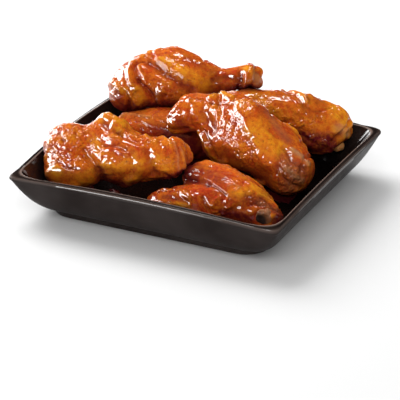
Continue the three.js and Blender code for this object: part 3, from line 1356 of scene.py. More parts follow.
@dataclass
class Wing:
    """One glazed wing, sculpted over its CAD solid. Sizes are in millimetres.

    Attributes:
        node: The CAD node.
        seed: Start of its random draws.
        marks: Creases, folds and stains on the side that shows.
        weld: Distance at which the CAD's points are joined.
        base_voxel: Side of a quad of the body.
        base_rounds: How often the body is smoothed.
        fine_voxel: Side of a quad of the finished skin.
        fine_rounds: How often that is smoothed before its fine relief.
        roll_height: Height of the flesh's broad unevenness.
        roll_cell: Size of one swell of it.
        roll_stretch: How the swells are drawn out along each axis.
        knob_height: Height of the knobs where the skin is lumpy.
        knob_cell: Size of one knob.
        knob_most: Most lumpiness that makes knobs.
        lumps_most: Most lumpiness that makes beads.
        room: How far a neighbour is looked for, half of which the skin may rise.
        relief: Its wrinkles and beads.
        hidden_folds: Number of folds and creases on the far side.
        hidden_length: Their least and most length.
        fold_height: Least and most height of those folds.
        fold_width: Their least and most width.
        fold_fat: How yellow they are.
        crease_depth: Least and most depth of those creases.
        crease_width: Their least and most width.
        crease_char_and_shade: How dark they are, partly char in them and partly painted shade.
        under_start: Downward slope at which the underside starts.
        underside_painted_shade: Painted shade on the underside, laid in the char colour, stronger the more
            it faces down.
        underside_sauce_and_shade: Sauce on the underside, partly sauce that has run down and partly painted
            shade.
        under_dry: How fast the coat of glaze ends below.
        pool_and_shade_reach: How near a neighbour the sauce and painted shade start.
        pool_sauce_and_shade: How much of them there is, partly sauce gathered where wings meet and partly
            painted shade there.
        fat_and_light_share: How yellow the skin is everywhere, partly each wing's own browning and partly
            painted light, raised on wings the lamps leave dim and lowered on one they light brightly.
        relief_gain: How fast grooves and crests of the fine relief take colour.
        groove_char_and_shade: How dark the grooves are, partly glaze gathered in them and partly painted
            shade.
        crest_fat_and_light: How yellow the crests are, partly glaze thinned over them and partly painted
            light.
        dip_char: How dark the broad dips are.
        swell_fat: How yellow the broad swells are.
    """

    node: str
    seed: int
    marks: tuple[Mark, ...] = ()
    weld: float = 0.01
    base_voxel: float = 0.65
    base_rounds: int = 5
    fine_voxel: float = 0.34
    fine_rounds: int = 2
    roll_height: float = 0.45
    roll_cell: float = 11.0
    roll_stretch: tuple[float, float, float] = (0.7, 1.0, 1.0)
    knob_height: float = 0.75
    knob_cell: float = 3.4
    knob_most: float = 1.3
    lumps_most: float = 1.5
    room: float = 4.0
    relief: FineRelief = FineRelief()
    hidden_folds: int = 26
    hidden_length: tuple[float, float] = (12.0, 34.0)
    fold_height: tuple[float, float] = (0.7, 1.8)
    fold_width: tuple[float, float] = (2.5, 5.0)
    fold_fat: float = 0.5
    crease_depth: tuple[float, float] = (0.8, 2.2)
    crease_width: tuple[float, float] = (1.8, 3.4)
    crease_char_and_shade: float = 0.6
    under_start: float = 0.1
    underside_painted_shade: float = 0.75
    underside_sauce_and_shade: float = 0.9
    under_dry: float = 2.5
    pool_and_shade_reach: float = 6.0
    pool_sauce_and_shade: float = 1.1
    fat_and_light_share: float = 0.05
    relief_gain: float = 5.0
    groove_char_and_shade: float = 0.30
    crest_fat_and_light: float = 0.30
    dip_char: float = 0.35
    swell_fat: float = 0.45
    KNOB_SEED = 40

    def body(self) -> bpy.types.Mesh:
        """Smooths the CAD solid into an even mesh.

        Returns:
            The mesh of the bare body.
        """
        loose = bmesh.new()
        loose.from_mesh(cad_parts[self.node].data)
        bmesh.ops.remove_doubles(loose, verts=list(loose.verts), dist=self.weld * MM)
        mesh = bpy.data.meshes.new(self.node + "_body")
        loose.to_mesh(mesh)
        loose.free()
        smooth = modified(mesh, ("SUBSURF", {"levels": 2, "render_levels": 2}))
        return remeshed(smooth, self.base_voxel, self.base_rounds)

    def hidden(self, skin: Skin) -> list[Route]:
        """Creases and folds for the sides that no mark reaches.

        Args:
            skin: The bare surface.

        Returns:
            Their routes.
        """
        draws = np.random.default_rng(self.seed)
        away = -skin.camera.axes()[2]
        routes = []
        for index in range(self.hidden_folds):
            length = draws.uniform(*self.hidden_length)
            if index % 2:
                height, width = draws.uniform(*self.fold_height), draws.uniform(*self.fold_width)
                made = fold("roll of skin", height, width, fat=self.fold_fat)
            else:
                depth, width = draws.uniform(*self.crease_depth), draws.uniform(*self.crease_width)
                # The creases' char colour is partly painted shade in them.
                made = crease("wrinkle", depth, width, char=self.crease_char_and_shade)
            routes.append(skin.wander(made, draws, length, away))
        return routes

    def rolls(self, points: np.ndarray) -> np.ndarray:
        """The broad unevenness of the flesh.

        Args:
            points: Points in millimetres.

        Returns:
            Height at each point, from about -1 to 1.
        """
        return GrainNoise(self.seed).at(points * self.roll_stretch, self.roll_cell)

    @staticmethod
    def clearance(mesh: bpy.types.Mesh, others: BVHTree, reach: float) -> np.ndarray:
        """How far each point is from the nearest neighbour.

        Args:
            mesh: The wing's mesh.
            others: Surfaces of its neighbours.
            reach: Distance past which nothing is looked for, in millimetres.

        Returns:
            The distance at each point, in millimetres, and reach where it is longer.
        """
        clear = np.full(len(mesh.vertices), reach)
        for index, vertex in enumerate(mesh.vertices):
            found = others.find_nearest(vertex.co, reach * MM)
            if found[0] is not None:
                clear[index] = found[3] / MM
        return clear

    def tint(
        self, mesh: bpy.types.Mesh, routes: list[Route], relief: np.ndarray, others: BVHTree
    ) -> None:
        """Writes the point attributes that the skin's finish reads.

        Args:
            mesh: The finished mesh.
            routes: All marks on the wing.
            relief: Its fine relief, in millimetres.
            others: Surfaces of its neighbours.
        """
        points = points_of(mesh)
        # Partly gathered sauce and partly painted shade: the nearer a neighbouring wing, the more sauce
        # colour.
        pooled_and_shaded = 1 - self.clearance(mesh, others, self.pool_and_shade_reach) / self.pool_and_shade_reach
        weights = self.stains(points, routes)
        # Grooves of the fine relief get darker and crests yellower: partly the glaze's thickness, partly
        # painted shade and painted light.
        groove = np.clip(-self.relief_gain * relief, 0, 1)
        crest = np.clip(self.relief_gain * relief, 0, 1)
        upward = normals_of(mesh)[:, 2]
        # Painted shade: the more a point faces down, the more char and sauce colour it gets.
        below = np.clip(-upward - self.under_start, 0, 1)
        rolls = self.rolls(points)
        dip, swell = np.clip(-rolls, 0, 1), np.clip(rolls, 0, 1)
        weights[Channel.CHAR] += self.groove_char_and_shade * groove + self.underside_painted_shade * below + self.dip_char * dip
        weights[Channel.FAT] += self.fat_and_light_share + self.crest_fat_and_light * crest + self.swell_fat * swell
        weights[Channel.SAUCE] += self.underside_sauce_and_shade * below + self.pool_sauce_and_shade * pooled_and_shaded
        weights[Channel.DRY] += np.clip(-self.under_dry * upward, 0, 1)
        for channel, weight in weights.items():
            layer = mesh.attributes.new(channel.value, "FLOAT", "POINT")
            layer.data.foreach_set("value", np.clip(weight, 0, 1).astype(np.float32))

    def stains(self, points: np.ndarray, routes: list[Route]) -> dict[Channel, np.ndarray]:
        """Adds up what the marks change at some points.

        Args:
            points: Points in millimetres.
            routes: The marks' routes.

        Returns:
            The weight at each point, for each channel.
        """
        weights = {channel: np.zeros(len(points)) for channel in Channel}
        for route in routes:
            if route.mark.tints:
                nearness = route.nearness(points, sunk=True)
                for channel, weight in route.mark.tints:
                    weights[channel] += weight * nearness
        return weights

    def build(self, others: BVHTree, finish: bpy.types.Material) -> bpy.types.Object:
        """Sculpts and dresses the wing.

        Args:
            others: Surfaces of its neighbours.
            finish: The skin's material.

        Returns:
            The piece.
        """
        base = self.body()
        skin = Skin(base)
        routes = [skin.lay(mark) for mark in self.marks] + self.hidden(skin)
        points = points_of(base)
        knobs = GrainNoise(self.seed + self.KNOB_SEED).at(points, self.knob_cell)
        lumps = np.clip(self.stains(points, routes)[Channel.LUMPS], 0, self.knob_most)
        rise = self.roll_height * self.rolls(points)
        rise += self.knob_height * lumps * knobs
        for route in routes:
            if route.mark.depth:
                rise -= route.mark.depth * route.nearness(points, sunk=False)
        rise = np.minimum(rise, self.clearance(base, others, self.room) / 2)
        move_points(base, points + rise[:, None] * normals_of(base))
        mesh = remeshed(base, self.fine_voxel, self.fine_rounds)
        points = points_of(mesh)
        lumps = np.clip(self.stains(points, routes)[Channel.LUMPS], 0, self.lumps_most)
        relief = self.relief.at(points, lumps, self.seed)
        move_points(mesh, points + relief[:, None] * normals_of(mesh))
        self.tint(mesh, routes, relief, others)
        mesh.materials.clear()
        mesh.materials.append(finish)
        mesh.shade_smooth()
        return new_piece(self.node + "_glazed", mesh, self.node)


def surfaces(nodes: Iterable[str]) -> BVHTree:
    """One search tree over some CAD nodes.

    Args:
        nodes: Their names.

    Returns:
        The tree.
    """
    corners: list[Vector] = []
    faces: list[tuple[int, ...]] = []
    for node in nodes:
        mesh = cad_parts[node].data
        start = len(corners)
        corners += [vertex.co.copy() for vertex in mesh.vertices]
        faces += [tuple(start + index for index in face.vertices) for face in mesh.polygons]
    return BVHTree.FromPolygons(corners, faces)


# ---------------------------------------------------------------- sauce and bones


@dataclass
class SauceFilm:
    """The film of sauce that has run off the wings onto the dish's floor. Sizes are in millimetres.

    Attributes:
        half: Half the side of the square that it may cover.
        cell: Side of a quad.
        floor_height: Height of the dish's floor.
        sunk: How far it goes into the floor.
        thickness: Its thickness.
        creep: How much higher it stands against a wing.
        creep_reach: How far from the wing that goes.
        spread: How far it runs out from a wing.
        wave_cell: Size of the broad waves of its outline.
        wave_share: Their weight.
        ripple_cell: Size of the fine waves of its outline.
        ripple_share: Their weight.
        margin: How far inside the square it ends.
        margin_fade: Width over which it gets thin there.
        edge_gain: How steep its edge is.
        edge_power: How round its edge is.
        seed: Start of its random draws.
    """

    half: float = 57.0
    cell: float = 0.9
    floor_height: float = 5.5
    sunk: float = 0.3
    thickness: float = 0.4
    creep: float = 0.3
    creep_reach: float = 1.3
    spread: float = 7.0
    wave_cell: float = 12.0
    wave_share: float = 0.55
    ripple_cell: float = 4.5
    ripple_share: float = 0.25
    margin: float = 1.0
    margin_fade: float = 3.0
    edge_gain: float = 2.5
    edge_power: float = 0.5
    seed: int = 51

    def cover(self, points: np.ndarray, gaps: np.ndarray) -> np.ndarray:
        """Where the film lies.

        Args:
            points: Points on the floor.
            gaps: Distance from each to the nearest wing.

        Returns:
            A value for each point, above 0 where there is sauce.
        """
        noise = GrainNoise(self.seed)
        waves = self.wave_share * noise.at(points, self.wave_cell)
        uneven = waves + self.ripple_share * noise.at(points, self.ripple_cell)
        inside = (self.half - self.margin - np.abs(points[:, :2]).max(axis=1)) / self.margin_fade
        return np.minimum(1 - gaps / self.spread + uneven, inside)

    def build(self, wings: BVHTree, finish: bpy.types.Material) -> bpy.types.Object:
        """Makes the film out of a grid that is cut back to where sauce lies.

        Args:
            wings: Surfaces of the wings.
            finish: The sauce's material.

        Returns:
            The piece.
        """
        film = bmesh.new()
        steps = round(2 * self.half / self.cell)
        bmesh.ops.create_grid(film, x_segments=steps, y_segments=steps, size=self.half * MM)
        stops = list(film.verts)
        for vertex in stops:
            vertex.co.z = self.floor_height * MM
        gaps = np.array([wings.find_nearest(vertex.co)[3] for vertex in stops]) / MM
        cover = self.cover(np.array([vertex.co for vertex in stops]) / MM, gaps)
        climb = self.creep * np.exp(-gaps / self.creep_reach)
        for vertex, share, rise in zip(stops, cover, climb, strict=True):
            full = min(1.0, max(0.0, self.edge_gain * share)) ** self.edge_power
            vertex.co.z += (self.thickness * full + rise) * MM
        bare = [vertex for vertex, share in zip(stops, cover, strict=True) if share <= 0]
        bmesh.ops.delete(film, geom=bare, context="VERTS")
        top = list(film.faces)
        grown = bmesh.ops.extrude_face_region(film, geom=top, use_keep_orig=True)["geom"]
        for vertex in (item for item in grown if isinstance(item, bmesh.types.BMVert)):
            vertex.co.z = (self.floor_height - self.sunk) * MM
        bmesh.ops.recalc_face_normals(film, faces=list(film.faces))
        mesh = bpy.data.meshes.new("sauce_film")
        film.to_mesh(mesh)
        film.free()
        mesh.shade_smooth()
        mesh.materials.append(finish)
        return new_piece("sauce_film", mesh)


Profile = tuple[tuple[float, float], ...]

CUT_BONE: Profile = (
    (0.0, 0.10),
    (0.25, 0.10),
    (0.46, 0.11),
    (0.62, 0.13),
    (0.78, 0.10),
    (0.90, 0.0),
    (1.0, -0.2),
    (1.02, -0.5),
    (0.9, -0.95),
    (0.5, -1.2),
    (0.0, -1.25),
)

KNUCKLE: Profile = (
    (0.0, 0.62),
    (0.3, 0.58),
    (0.6, 0.42),
    (0.85, 0.14),
    (1.0, -0.25),
    (0.98, -0.7),
    (0.6, -1.0),
    (0.0, -1.1),
)


@dataclass
class BoneEnd:
    """The end of a bone at a wing's tip, turned round its own axis. Sizes are in millimetres.

    The profile's radii and heights, marrow and core are shares of the radius.

    Attributes:
        name: The piece's name.
        node: The wing that it stands on.
        spot: Where on that wing, as a point of the 400 by 400 frame.
        facing: The way that it looks.
        radius: Its radius.
        profile: Half of its section, from the middle of its face to the middle of its back.
        finish: Its finish.
        marrow: Radius of the marrow.
        core: Place of the marrow's middle.
        lift: How far it stands out of the wing's skin, or goes in when below zero.
        squash: Its narrower radius, as a share of the wider one.
        uneven: Height of its lumps.
        uneven_cell: Size of its lumps.
        steps: Faces round it.
        seed: Start of its random draws.
        CORE_EDGE: Width over which the marrow's colour fades.
        WELD: Distance at which its points are joined.
    """

    name: str
    node: str
    spot: Pixel
    facing: tuple[float, float, float]
    radius: float
    profile: Profile
    finish: BareBone = BareBone()
    marrow: float = 0.0
    core: tuple[float, float] = (0.0, 0.0)
    lift: float = 0.0
    squash: float = 0.85
    uneven: float = 0.35
    uneven_cell: float = 3.2
    steps: int = 40
    seed: int = 61
    CORE_EDGE = 0.45
    WELD = 1e-4

    def build(self) -> bpy.types.Object:
        """Spins the profile, roughens it and sets it on its wing.

        Returns:
            The piece.
        """
        turned = bmesh.new()
        stops = [turned.verts.new((radius, 0.0, height)) for radius, height in self.profile]
        lines = [turned.edges.new(pair) for pair in itertools.pairwise(stops)]
        axis = {"axis": (0.0, 0.0, 1.0), "cent": (0.0, 0.0, 0.0), "angle": math.tau}
        bmesh.ops.spin(turned, geom=stops + lines, steps=self.steps, use_merge=True, **axis)
        bmesh.ops.remove_doubles(turned, verts=list(turned.verts), dist=self.WELD)
        bmesh.ops.recalc_face_normals(turned, faces=list(turned.faces))
        core = turned.verts.layers.float.new("marrow")
        for vertex in turned.verts:
            reach = math.hypot(vertex.co.x - self.core[0], vertex.co.y - self.core[1])
            edge = (self.marrow - reach) / self.CORE_EDGE
            vertex[core] = min(1.0, max(0.0, edge)) if vertex.co.z > 0.0 else 0.0
        place, _ = Skin(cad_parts[self.node].data).under(self.spot)
        facing = Vector(self.facing).normalized()
        turn = facing.to_track_quat("Z", "Y").to_matrix().to_4x4()
        size = Matrix.Diagonal((self.radius * MM, self.radius * self.squash * MM, self.radius * MM, 1.0))
        seat = Matrix.Translation(place + facing * self.lift * MM)
        bmesh.ops.transform(turned, matrix=seat @ turn @ size, verts=list(turned.verts))
        loose = bpy.data.meshes.new(self.name)
        turned.to_mesh(loose)
        turned.free()
        mesh = modified(loose, ("SUBSURF", {"levels": 2, "render_levels": 2}))
        points = points_of(mesh)
        swell = self.uneven * GrainNoise(self.seed).at(points, self.uneven_cell)
        move_points(mesh, points + swell[:, None] * normals_of(mesh))
        mesh.materials.append(self.finish.make())
        mesh.shade_smooth()
        return new_piece(self.name, mesh)


# These colours are lighter than the cartilage's own tone: partly pale cartilage, partly painted light on a
# nub that lies in shade.
CARTILAGE = BareBone("cartilage", (0.80, 0.40, 0.150), (0.72, 0.27, 0.065))

BONES = (
    BoneEnd(
        "front_wing_bone",
        "wing_front",
        (262, 220),
        (0.06, -0.90, -0.06),
        5.2,
        CUT_BONE,
        marrow=1.0,
        core=(-0.30, -0.22),
        lift=-1.9,
        uneven=0.9,
    ),
    BoneEnd(
        "right_wing_cartilage",
        "wing_right",
        (339, 150),
        (0.70, -0.60, 0.30),
        4.0,
        KNUCKLE,
        CARTILAGE,
        lift=2.6,
        seed=62,
    ),
)


# ---------------------------------------------------------------- the wings' marks


# Char and sauce laid along creases, hollows, clefts, undersides and gaps between wings are partly glaze and
# sauce gathered there and partly painted shade; pale on a few ridges is a painted highlight.
BACK_FLOOR_MARKS = (
    # The pale on this ridge is a painted highlight.
    fold("ridge at the top", 0.9, 2.2, (118, 113), (135, 115), (150, 117), pale=0.3, fat=0.3),
    crease("crease under the ridge", 0.6, 2.0, (123, 118), (135, 119), (145, 125), (150, 130), sauce=0.3),
    crease("crease towards the neck", 0.5, 1.8, (153, 116), (162, 120), (168, 125), char=0.4),
    stain("orange back", 9, (135, 113), (150, 114), (168, 116), fat=0.4),
    stain("orange front", 6, (140, 124), (152, 125), (163, 127), fat=0.2),
    stain("dull skin", 15, (122, 118), (145, 122), (168, 124), dry=1.15),
    fold("roll at the left end", 0.8, 2.5, (121, 120), (128, 124), (136, 130), fat=0.2),
    # This sauce and char in the recess under the middle wing are partly sauce and partly painted shade.
    stain("sauce and shade between the wings", 17, (176, 138), (188, 148), (205, 154), sauce=1.2, char=0.6),
)

FRONT_MARKS = (
    fold(
        "upper edge", 0.8, 3.2,
        (187, 158), (200, 159), (213, 163), (233, 171), (255, 187), (272, 197), fat=0.4,
    ),
    # This crease's sauce colour is partly sauce and partly the left wing's painted shadow across it.
    crease(
        "crease between the lobes", 2.6, 3.2,
        (155, 185), (165, 181), (180, 179), (195, 180), (207, 184), sauce=0.9,
    ),
    crease("end of that crease", 1.2, 2.4, (207, 184), (218, 189), (226, 196), char=0.6),
    stain("brown slope", 8, (188, 167), (202, 172), (220, 180), char=0.6, sauce=0.25),
    stain("sauce over the left end", 5, (186, 168), (184, 176), (192, 180), sauce=0.7),
    fold("first fine line", 0.2, 1.1, (198, 165), (222, 174), (243, 188)),
    fold("second fine line", 0.2, 1.1, (196, 169), (220, 179), (240, 194)),
    fold("third fine line", 0.2, 1.1, (194, 173), (214, 183), (232, 199)),
    fold("fourth fine line", 0.2, 1.1, (212, 167), (236, 179), (254, 193)),
    # The pale on this loop is a painted highlight.
    fold("small loop", 0.5, 1.3, (228, 186), (234, 184), (240, 187), (236, 190), pale=0.3),
    fold("bright knoll", 1.1, 3.2, (184, 192), (188, 197), fat=0.3),
    fold("knoll at the tip", 0.6, 1.8, (165, 191), fat=0.2),
    fold("knoll beside it", 0.5, 1.8, (177, 193)),
    stain("lumps on the tip", 5, (158, 189), (178, 191), lumps=1.0),
    hollow("red streak under the tip", 0.6, 2.6, (163, 197), (175, 199), (186, 201), sauce=0.65),
    fold("yellow edge under it", 0.5, 2.4, (171, 203), (188, 206), fat=1.2),
    crease("notch between tip and body", 1.8, 2.2, (203, 198), (205, 205), (208, 212), sauce=0.7),
    fold("first bright fold", 0.8, 2.2, (212, 206), (216, 200), (220, 198), lumps=0.6),
    fold("second bright fold", 0.8, 2.0, (223, 214), (226, 208), (230, 206), lumps=1.0),
    fold("upright glint", 0.6, 1.4, (226, 204), (227, 197)),
    hollow("dark dip beside them", 0.8, 2.5, (233, 210), (238, 206), char=0.6),
    stain("yellow belly", 7, (236, 192), (256, 191), (268, 197), fat=0.8),
    stain("speckled front", 6, (248, 198), (262, 201), char=0.9, lumps=1.1),
    stain("speckled end", 5, (262, 203), (272, 207), (278, 212), char=0.7, lumps=0.9, pale=0.25),
    stain("dull slope", 9, (192, 165), (208, 174), (222, 184), (238, 190), dry=0.9),
    stain("dull end", 5, (262, 222), (270, 218), (272, 224), dry=0.9),
    stain("dull front", 7, (203, 184), (220, 198), (240, 210), dry=0.55),
    crease("wrinkle over the bone", 0.7, 1.6, (246, 207), (254, 204), (264, 206), char=0.4),
    # Mostly painted shade between the body and the dish's lip, with some sauce.
    stain("sauce and shade under the body", 4.5, (222, 212), (236, 215), (250, 219), sauce=1.1),
    stain("red end", 4.5, (275, 221), (277, 214), (283, 215), sauce=0.9),
    hollow("socket of the bone", 3.2, 7.0, (261, 219), char=0.6),
    fold("fold at the end", 0.6, 2.0, (272, 201), (277, 206), (279, 212), fat=0.3),
    hollow("bed of the bone's right side", 1.2, 4.0, (267, 222)),
)

RIGHT_MARKS = (
    crease(
        "bow-shaped crease", 0.9, 1.7,
        (303, 105), (309, 108), (315, 111), (322, 110), (331, 108), char=0.5,
    ),
    fold("knob on the top edge", 0.9, 3.0, (277, 91), char=0.3),
    fold("second knob", 0.7, 2.6, (310, 95), char=0.4),
    stain("lumpy upper end", 8, (258, 97), (270, 110), lumps=1.1, fat=0.25),
    fold("bright fold beside the middle wing", 0.7, 1.8, (260, 97), (264, 105), (270, 112)),
    stain("lumpy middle", 7, (280, 116), (296, 127), lumps=1.3),
    stain("lumpy belly", 7, (297, 126), (316, 121), lumps=1.2),
    fold("knoll", 0.6, 2.2, (299, 111), lumps=0.8),
    crease("wrinkle over the belly", 0.9, 1.8, (287, 107), (296, 115), (303, 118), char=0.4),
    crease("second wrinkle", 0.8, 1.7, (318, 117), (326, 122), (333, 130), char=0.4),
    fold("fan fold", 0.6, 1.8, (326, 112), (336, 117), (343, 125), fat=0.4),
    fold("second fan fold", 0.6, 1.8, (322, 118), (330, 126), (336, 134), fat=0.3),
    fold("end fold", 0.8, 2.4, (338, 108), (347, 115), (351, 124), fat=0.7),
    stain("yellow end", 7, (336, 110), (347, 118), (349, 127), fat=0.9),
    stain("pale end", 5, (338, 127), (348, 134), pale=0.45, fat=0.5),
    stain("brown ridge", 6, (285, 96), (305, 101), (320, 101), char=0.35),
    # The dark sauce on the lower front, under the belly and beside the middle wing is partly sauce and
    # partly painted shade.
    hollow("wet dark front", 1.2, 6.0, (300, 135), (315, 138), (328, 138), sauce=0.9),
    stain("sauce and shade under the belly", 8, (303, 146), (322, 148), (333, 147), sauce=1.2),
    stain("sauce and shade beside the middle wing", 5, (302, 138), (311, 143), (320, 147), sauce=0.9),
    stain("glossy lumps in it", 7, (312, 140), (320, 142), (330, 145), lumps=1.8),
    stain("shade beside the middle wing", 5, (272, 116), (284, 130), (294, 140), char=0.7),
)

LEFT_MARKS = (
    crease(
        "crease between the left lobes", 1.3, 2.6,
        (45, 168), (51, 164), (58, 161), (64, 166), (77, 169), char=0.5,
    ),
    # The cleft's char and the sauce in it are partly painted shade.
    crease("cleft", 3.2, 4.2, (84, 150), (88, 156), (93, 162), (98, 169), (101, 177), (103, 187), char=0.5),
    stain("sauce and shade in the cleft", 5.5, (97, 169), (101, 177), (107, 181), sauce=1.0),
    hollow("hollow under the peak", 1.5, 4.0, (104, 123), (110, 128), (118, 132), sauce=0.65),
    fold("peak", 1.4, 5.0, (107, 116), fat=0.35),
    fold("upper bright ridge", 1.1, 2.2, (104, 136), (112, 139), (119, 139), lumps=0.5),
    fold("lower bright ridge", 0.9, 2.0, (103, 149), (115, 149), (122, 153), (128, 155)),
    hollow("red hollow between them", 1.0, 2.8, (104, 144), (118, 145), (126, 148), sauce=0.45),
    fold("first row knoll", 0.6, 1.5, (101, 155), (101, 160)),
    fold("second row knoll", 0.6, 1.5, (108, 156), (108, 160)),
    fold("third row knoll", 0.5, 1.5, (114, 158)),
    fold(
        "fold on the back edge", 1.6, 3.4,
        (124, 125), (135, 128), (142, 132), (149, 138), (155, 142), fat=0.6,
    ),
    hollow("dip under it", 0.9, 3.0, (118, 133), (128, 138), (138, 143), char=0.3),
    stain("bright lumps under it", 5.5, (112, 136), (126, 132), (138, 138), (152, 143), lumps=1.2),
    stain("red skin in the middle", 4.0, (126, 151), (140, 150), (146, 155), sauce=0.3),
    hollow("dip between the bellies", 1.6, 4.0, (148, 152), (150, 162), (153, 174), char=0.55),
    fold("first fan ridge", 0.5, 2.2, (156, 139), (163, 136), (169, 141), (172, 148), fat=0.4),
    crease("first fan groove", 0.35, 1.7, (160, 143), (166, 148), (167, 157), char=0.4),
    crease("second fan groove", 0.4, 1.7, (171, 141), (175, 152), (174, 165), (178, 176), sauce=0.4),
    crease("third fan groove", 0.6, 1.7, (177, 144), (181, 155), (182, 168), (184, 176), sauce=0.5),
    # The pale on these two ridges is a painted highlight.
    fold("fan ridge between them", 0.4, 1.4, (174, 142), (178, 154), (178, 166), (181, 176), pale=0.4),
    fold("last fan ridge", 0.35, 1.3, (180, 147), (184, 157), (185, 168), pale=0.4),
    stain("yellow spot at the left", 4.5, (53, 168), (58, 171), fat=1.1),
    stain("yellow middle", 5, (93, 138), (98, 147), fat=0.8),
    stain("front belly", 8, (108, 165), (124, 166), (142, 164), fat=0.55, sauce=-0.3),
    stain("second belly", 7, (157, 163), (170, 165), fat=0.6),
    # This takes the painted underside shade away here and paints light with fat where the lower belly is
    # lit.
    stain("lower left belly", 10, (54, 177), (68, 177), (84, 180), fat=0.35, sauce=-0.9),
    # The dark bottom is partly sauce and partly painted shade under the wing.
    stain("dark bottom", 6, (104, 184), (118, 184), (138, 183), (160, 181), (176, 178), sauce=1.2),
    stain("lumpy left lobe", 15, (52, 142), (66, 132), (80, 132), (84, 142), (68, 152), lumps=1.3),
    stain("lumps near the crease", 6, (62, 156), (70, 164), lumps=1.2),
    hollow("red dimple", 0.6, 2.4, (75, 126), sauce=0.8),
    hollow("orange dimple", 0.6, 2.8, (68, 152), char=0.4),
    fold("left edge", 0.8, 3.0, (45, 160), (47, 150), (52, 140), fat=0.4),
    fold("lower left edge", 0.8, 2.6, (47, 172), (46, 180), pale=0.35, fat=0.5),
)

MIDDLE_MARKS = (
    fold(
        "rim of the hooked lobe", 1.1, 2.3,
        (168, 130), (168, 118), (172, 112), (178, 107), (182, 99), (188, 95),
    ),
    # The pale on the lobe's top is a painted highlight.
    fold("top of the hooked lobe", 0.7, 1.8, (188, 95), (198, 94), (207, 95), pale=0.2),
    crease("line under the top", 1.1, 1.6, (190, 98), (199, 99), (206, 100), (212, 103), char=0.7),
    hollow("smooth saddle", 1.7, 5.5, (205, 113), (209, 121), (212, 129), sauce=0.35, char=0.3),
    # Partly sauce and partly painted shade under the hooked lobe.
    stain("sauce and shade under the lobe", 5, (179, 123), (187, 129), (195, 132), sauce=0.9),
    fold("grey fold", 0.8, 2.0, (186, 111), (185, 118), (187, 125)),
    crease("groove beside it", 1.0, 1.8, (190, 106), (190, 116), (192, 126), sauce=0.5),
    fold("bright knoll", 1.0, 2.8, (195, 115), (196, 120)),
    fold("lower knoll", 0.7, 2.0, (202, 125), (205, 128)),
    fold("bright spot on the rim", 0.8, 2.0, (178, 107)),
    fold("orange flap", 2.4, 3.2, (211, 98), (221, 94), (231, 98), fat=1.3),
    crease("shade under the flap", 1.3, 1.6, (211, 103), (222, 103), (233, 104), sauce=0.7),
    fold("left edge of the body", 1.1, 2.6, (199, 132), (206, 147), (213, 161), fat=0.8),
    crease("groove inside that edge", 1.0, 1.9, (204, 131), (211, 146), (217, 157), char=0.5),
    fold("first upright fold", 0.6, 1.4, (217, 111), (218, 128)),
    fold("second upright fold", 0.6, 1.4, (225, 105), (224, 129)),
    stain("speckled top", 7, (206, 104), (222, 110), (236, 120), lumps=1.0),
    stain("lumpy crown", 8, (232, 103), (250, 102), (246, 110), lumps=1.3),
    stain("lumpy middle", 12, (226, 130), (236, 142), (244, 156), lumps=1.5),
    stain("bright lumps to its right", 5, (253, 134), (254, 150), lumps=1.3),
    stain("yellow middle", 6, (249, 131), (262, 137), fat=1.3),
    stain("yellow right", 7, (263, 142), (277, 147), fat=1.1),
    stain("red-brown lower middle", 9, (228, 156), (246, 168), (264, 178), char=0.5),
    stain("red top", 3.5, (236, 111), (242, 117), sauce=0.5),
    fold("ridge down the middle", 3.2, 10.0, (246, 108), (253, 126), (262, 142), (268, 158), fat=0.3),
    hollow("dip left of it", 0.8, 3.5, (240, 118), (243, 132), (252, 148), char=0.25),
    stain("brown right edge", 5, (268, 112), (278, 128), (288, 140), char=0.6, pale=0.2),
    crease(
        "crease over the knob", 1.6, 2.6,
        (284, 147), (288, 154), (291, 161), (298, 165), (306, 169), char=0.7,
    ),
    crease("crease left of the knob", 1.4, 2.6, (281, 150), (279, 162), (276, 174), char=0.5),
    fold("roll of the knob", 0.9, 3.0, (292, 150), (301, 156), (308, 163), pale=0.8, lumps=0.8),
    fold("lower roll", 0.8, 2.8, (286, 168), (294, 176), (303, 181), pale=0.45),
    crease("crease under it", 1.1, 2.2, (282, 176), (290, 184), (300, 188), char=0.6),
    stain("dull knob", 11, (287, 165), (298, 175), (290, 186), dry=0.4, char=0.75, pale=0.2, lumps=1.3),
    stain("lumps at the bottom", 4, (280, 189), (291, 191), lumps=1.2, dry=-1.0),
    # The dark foot is partly sauce and partly painted shade on the underside.
    stain("dark foot", 5, (252, 186), (268, 194), (284, 197), sauce=0.6),
)

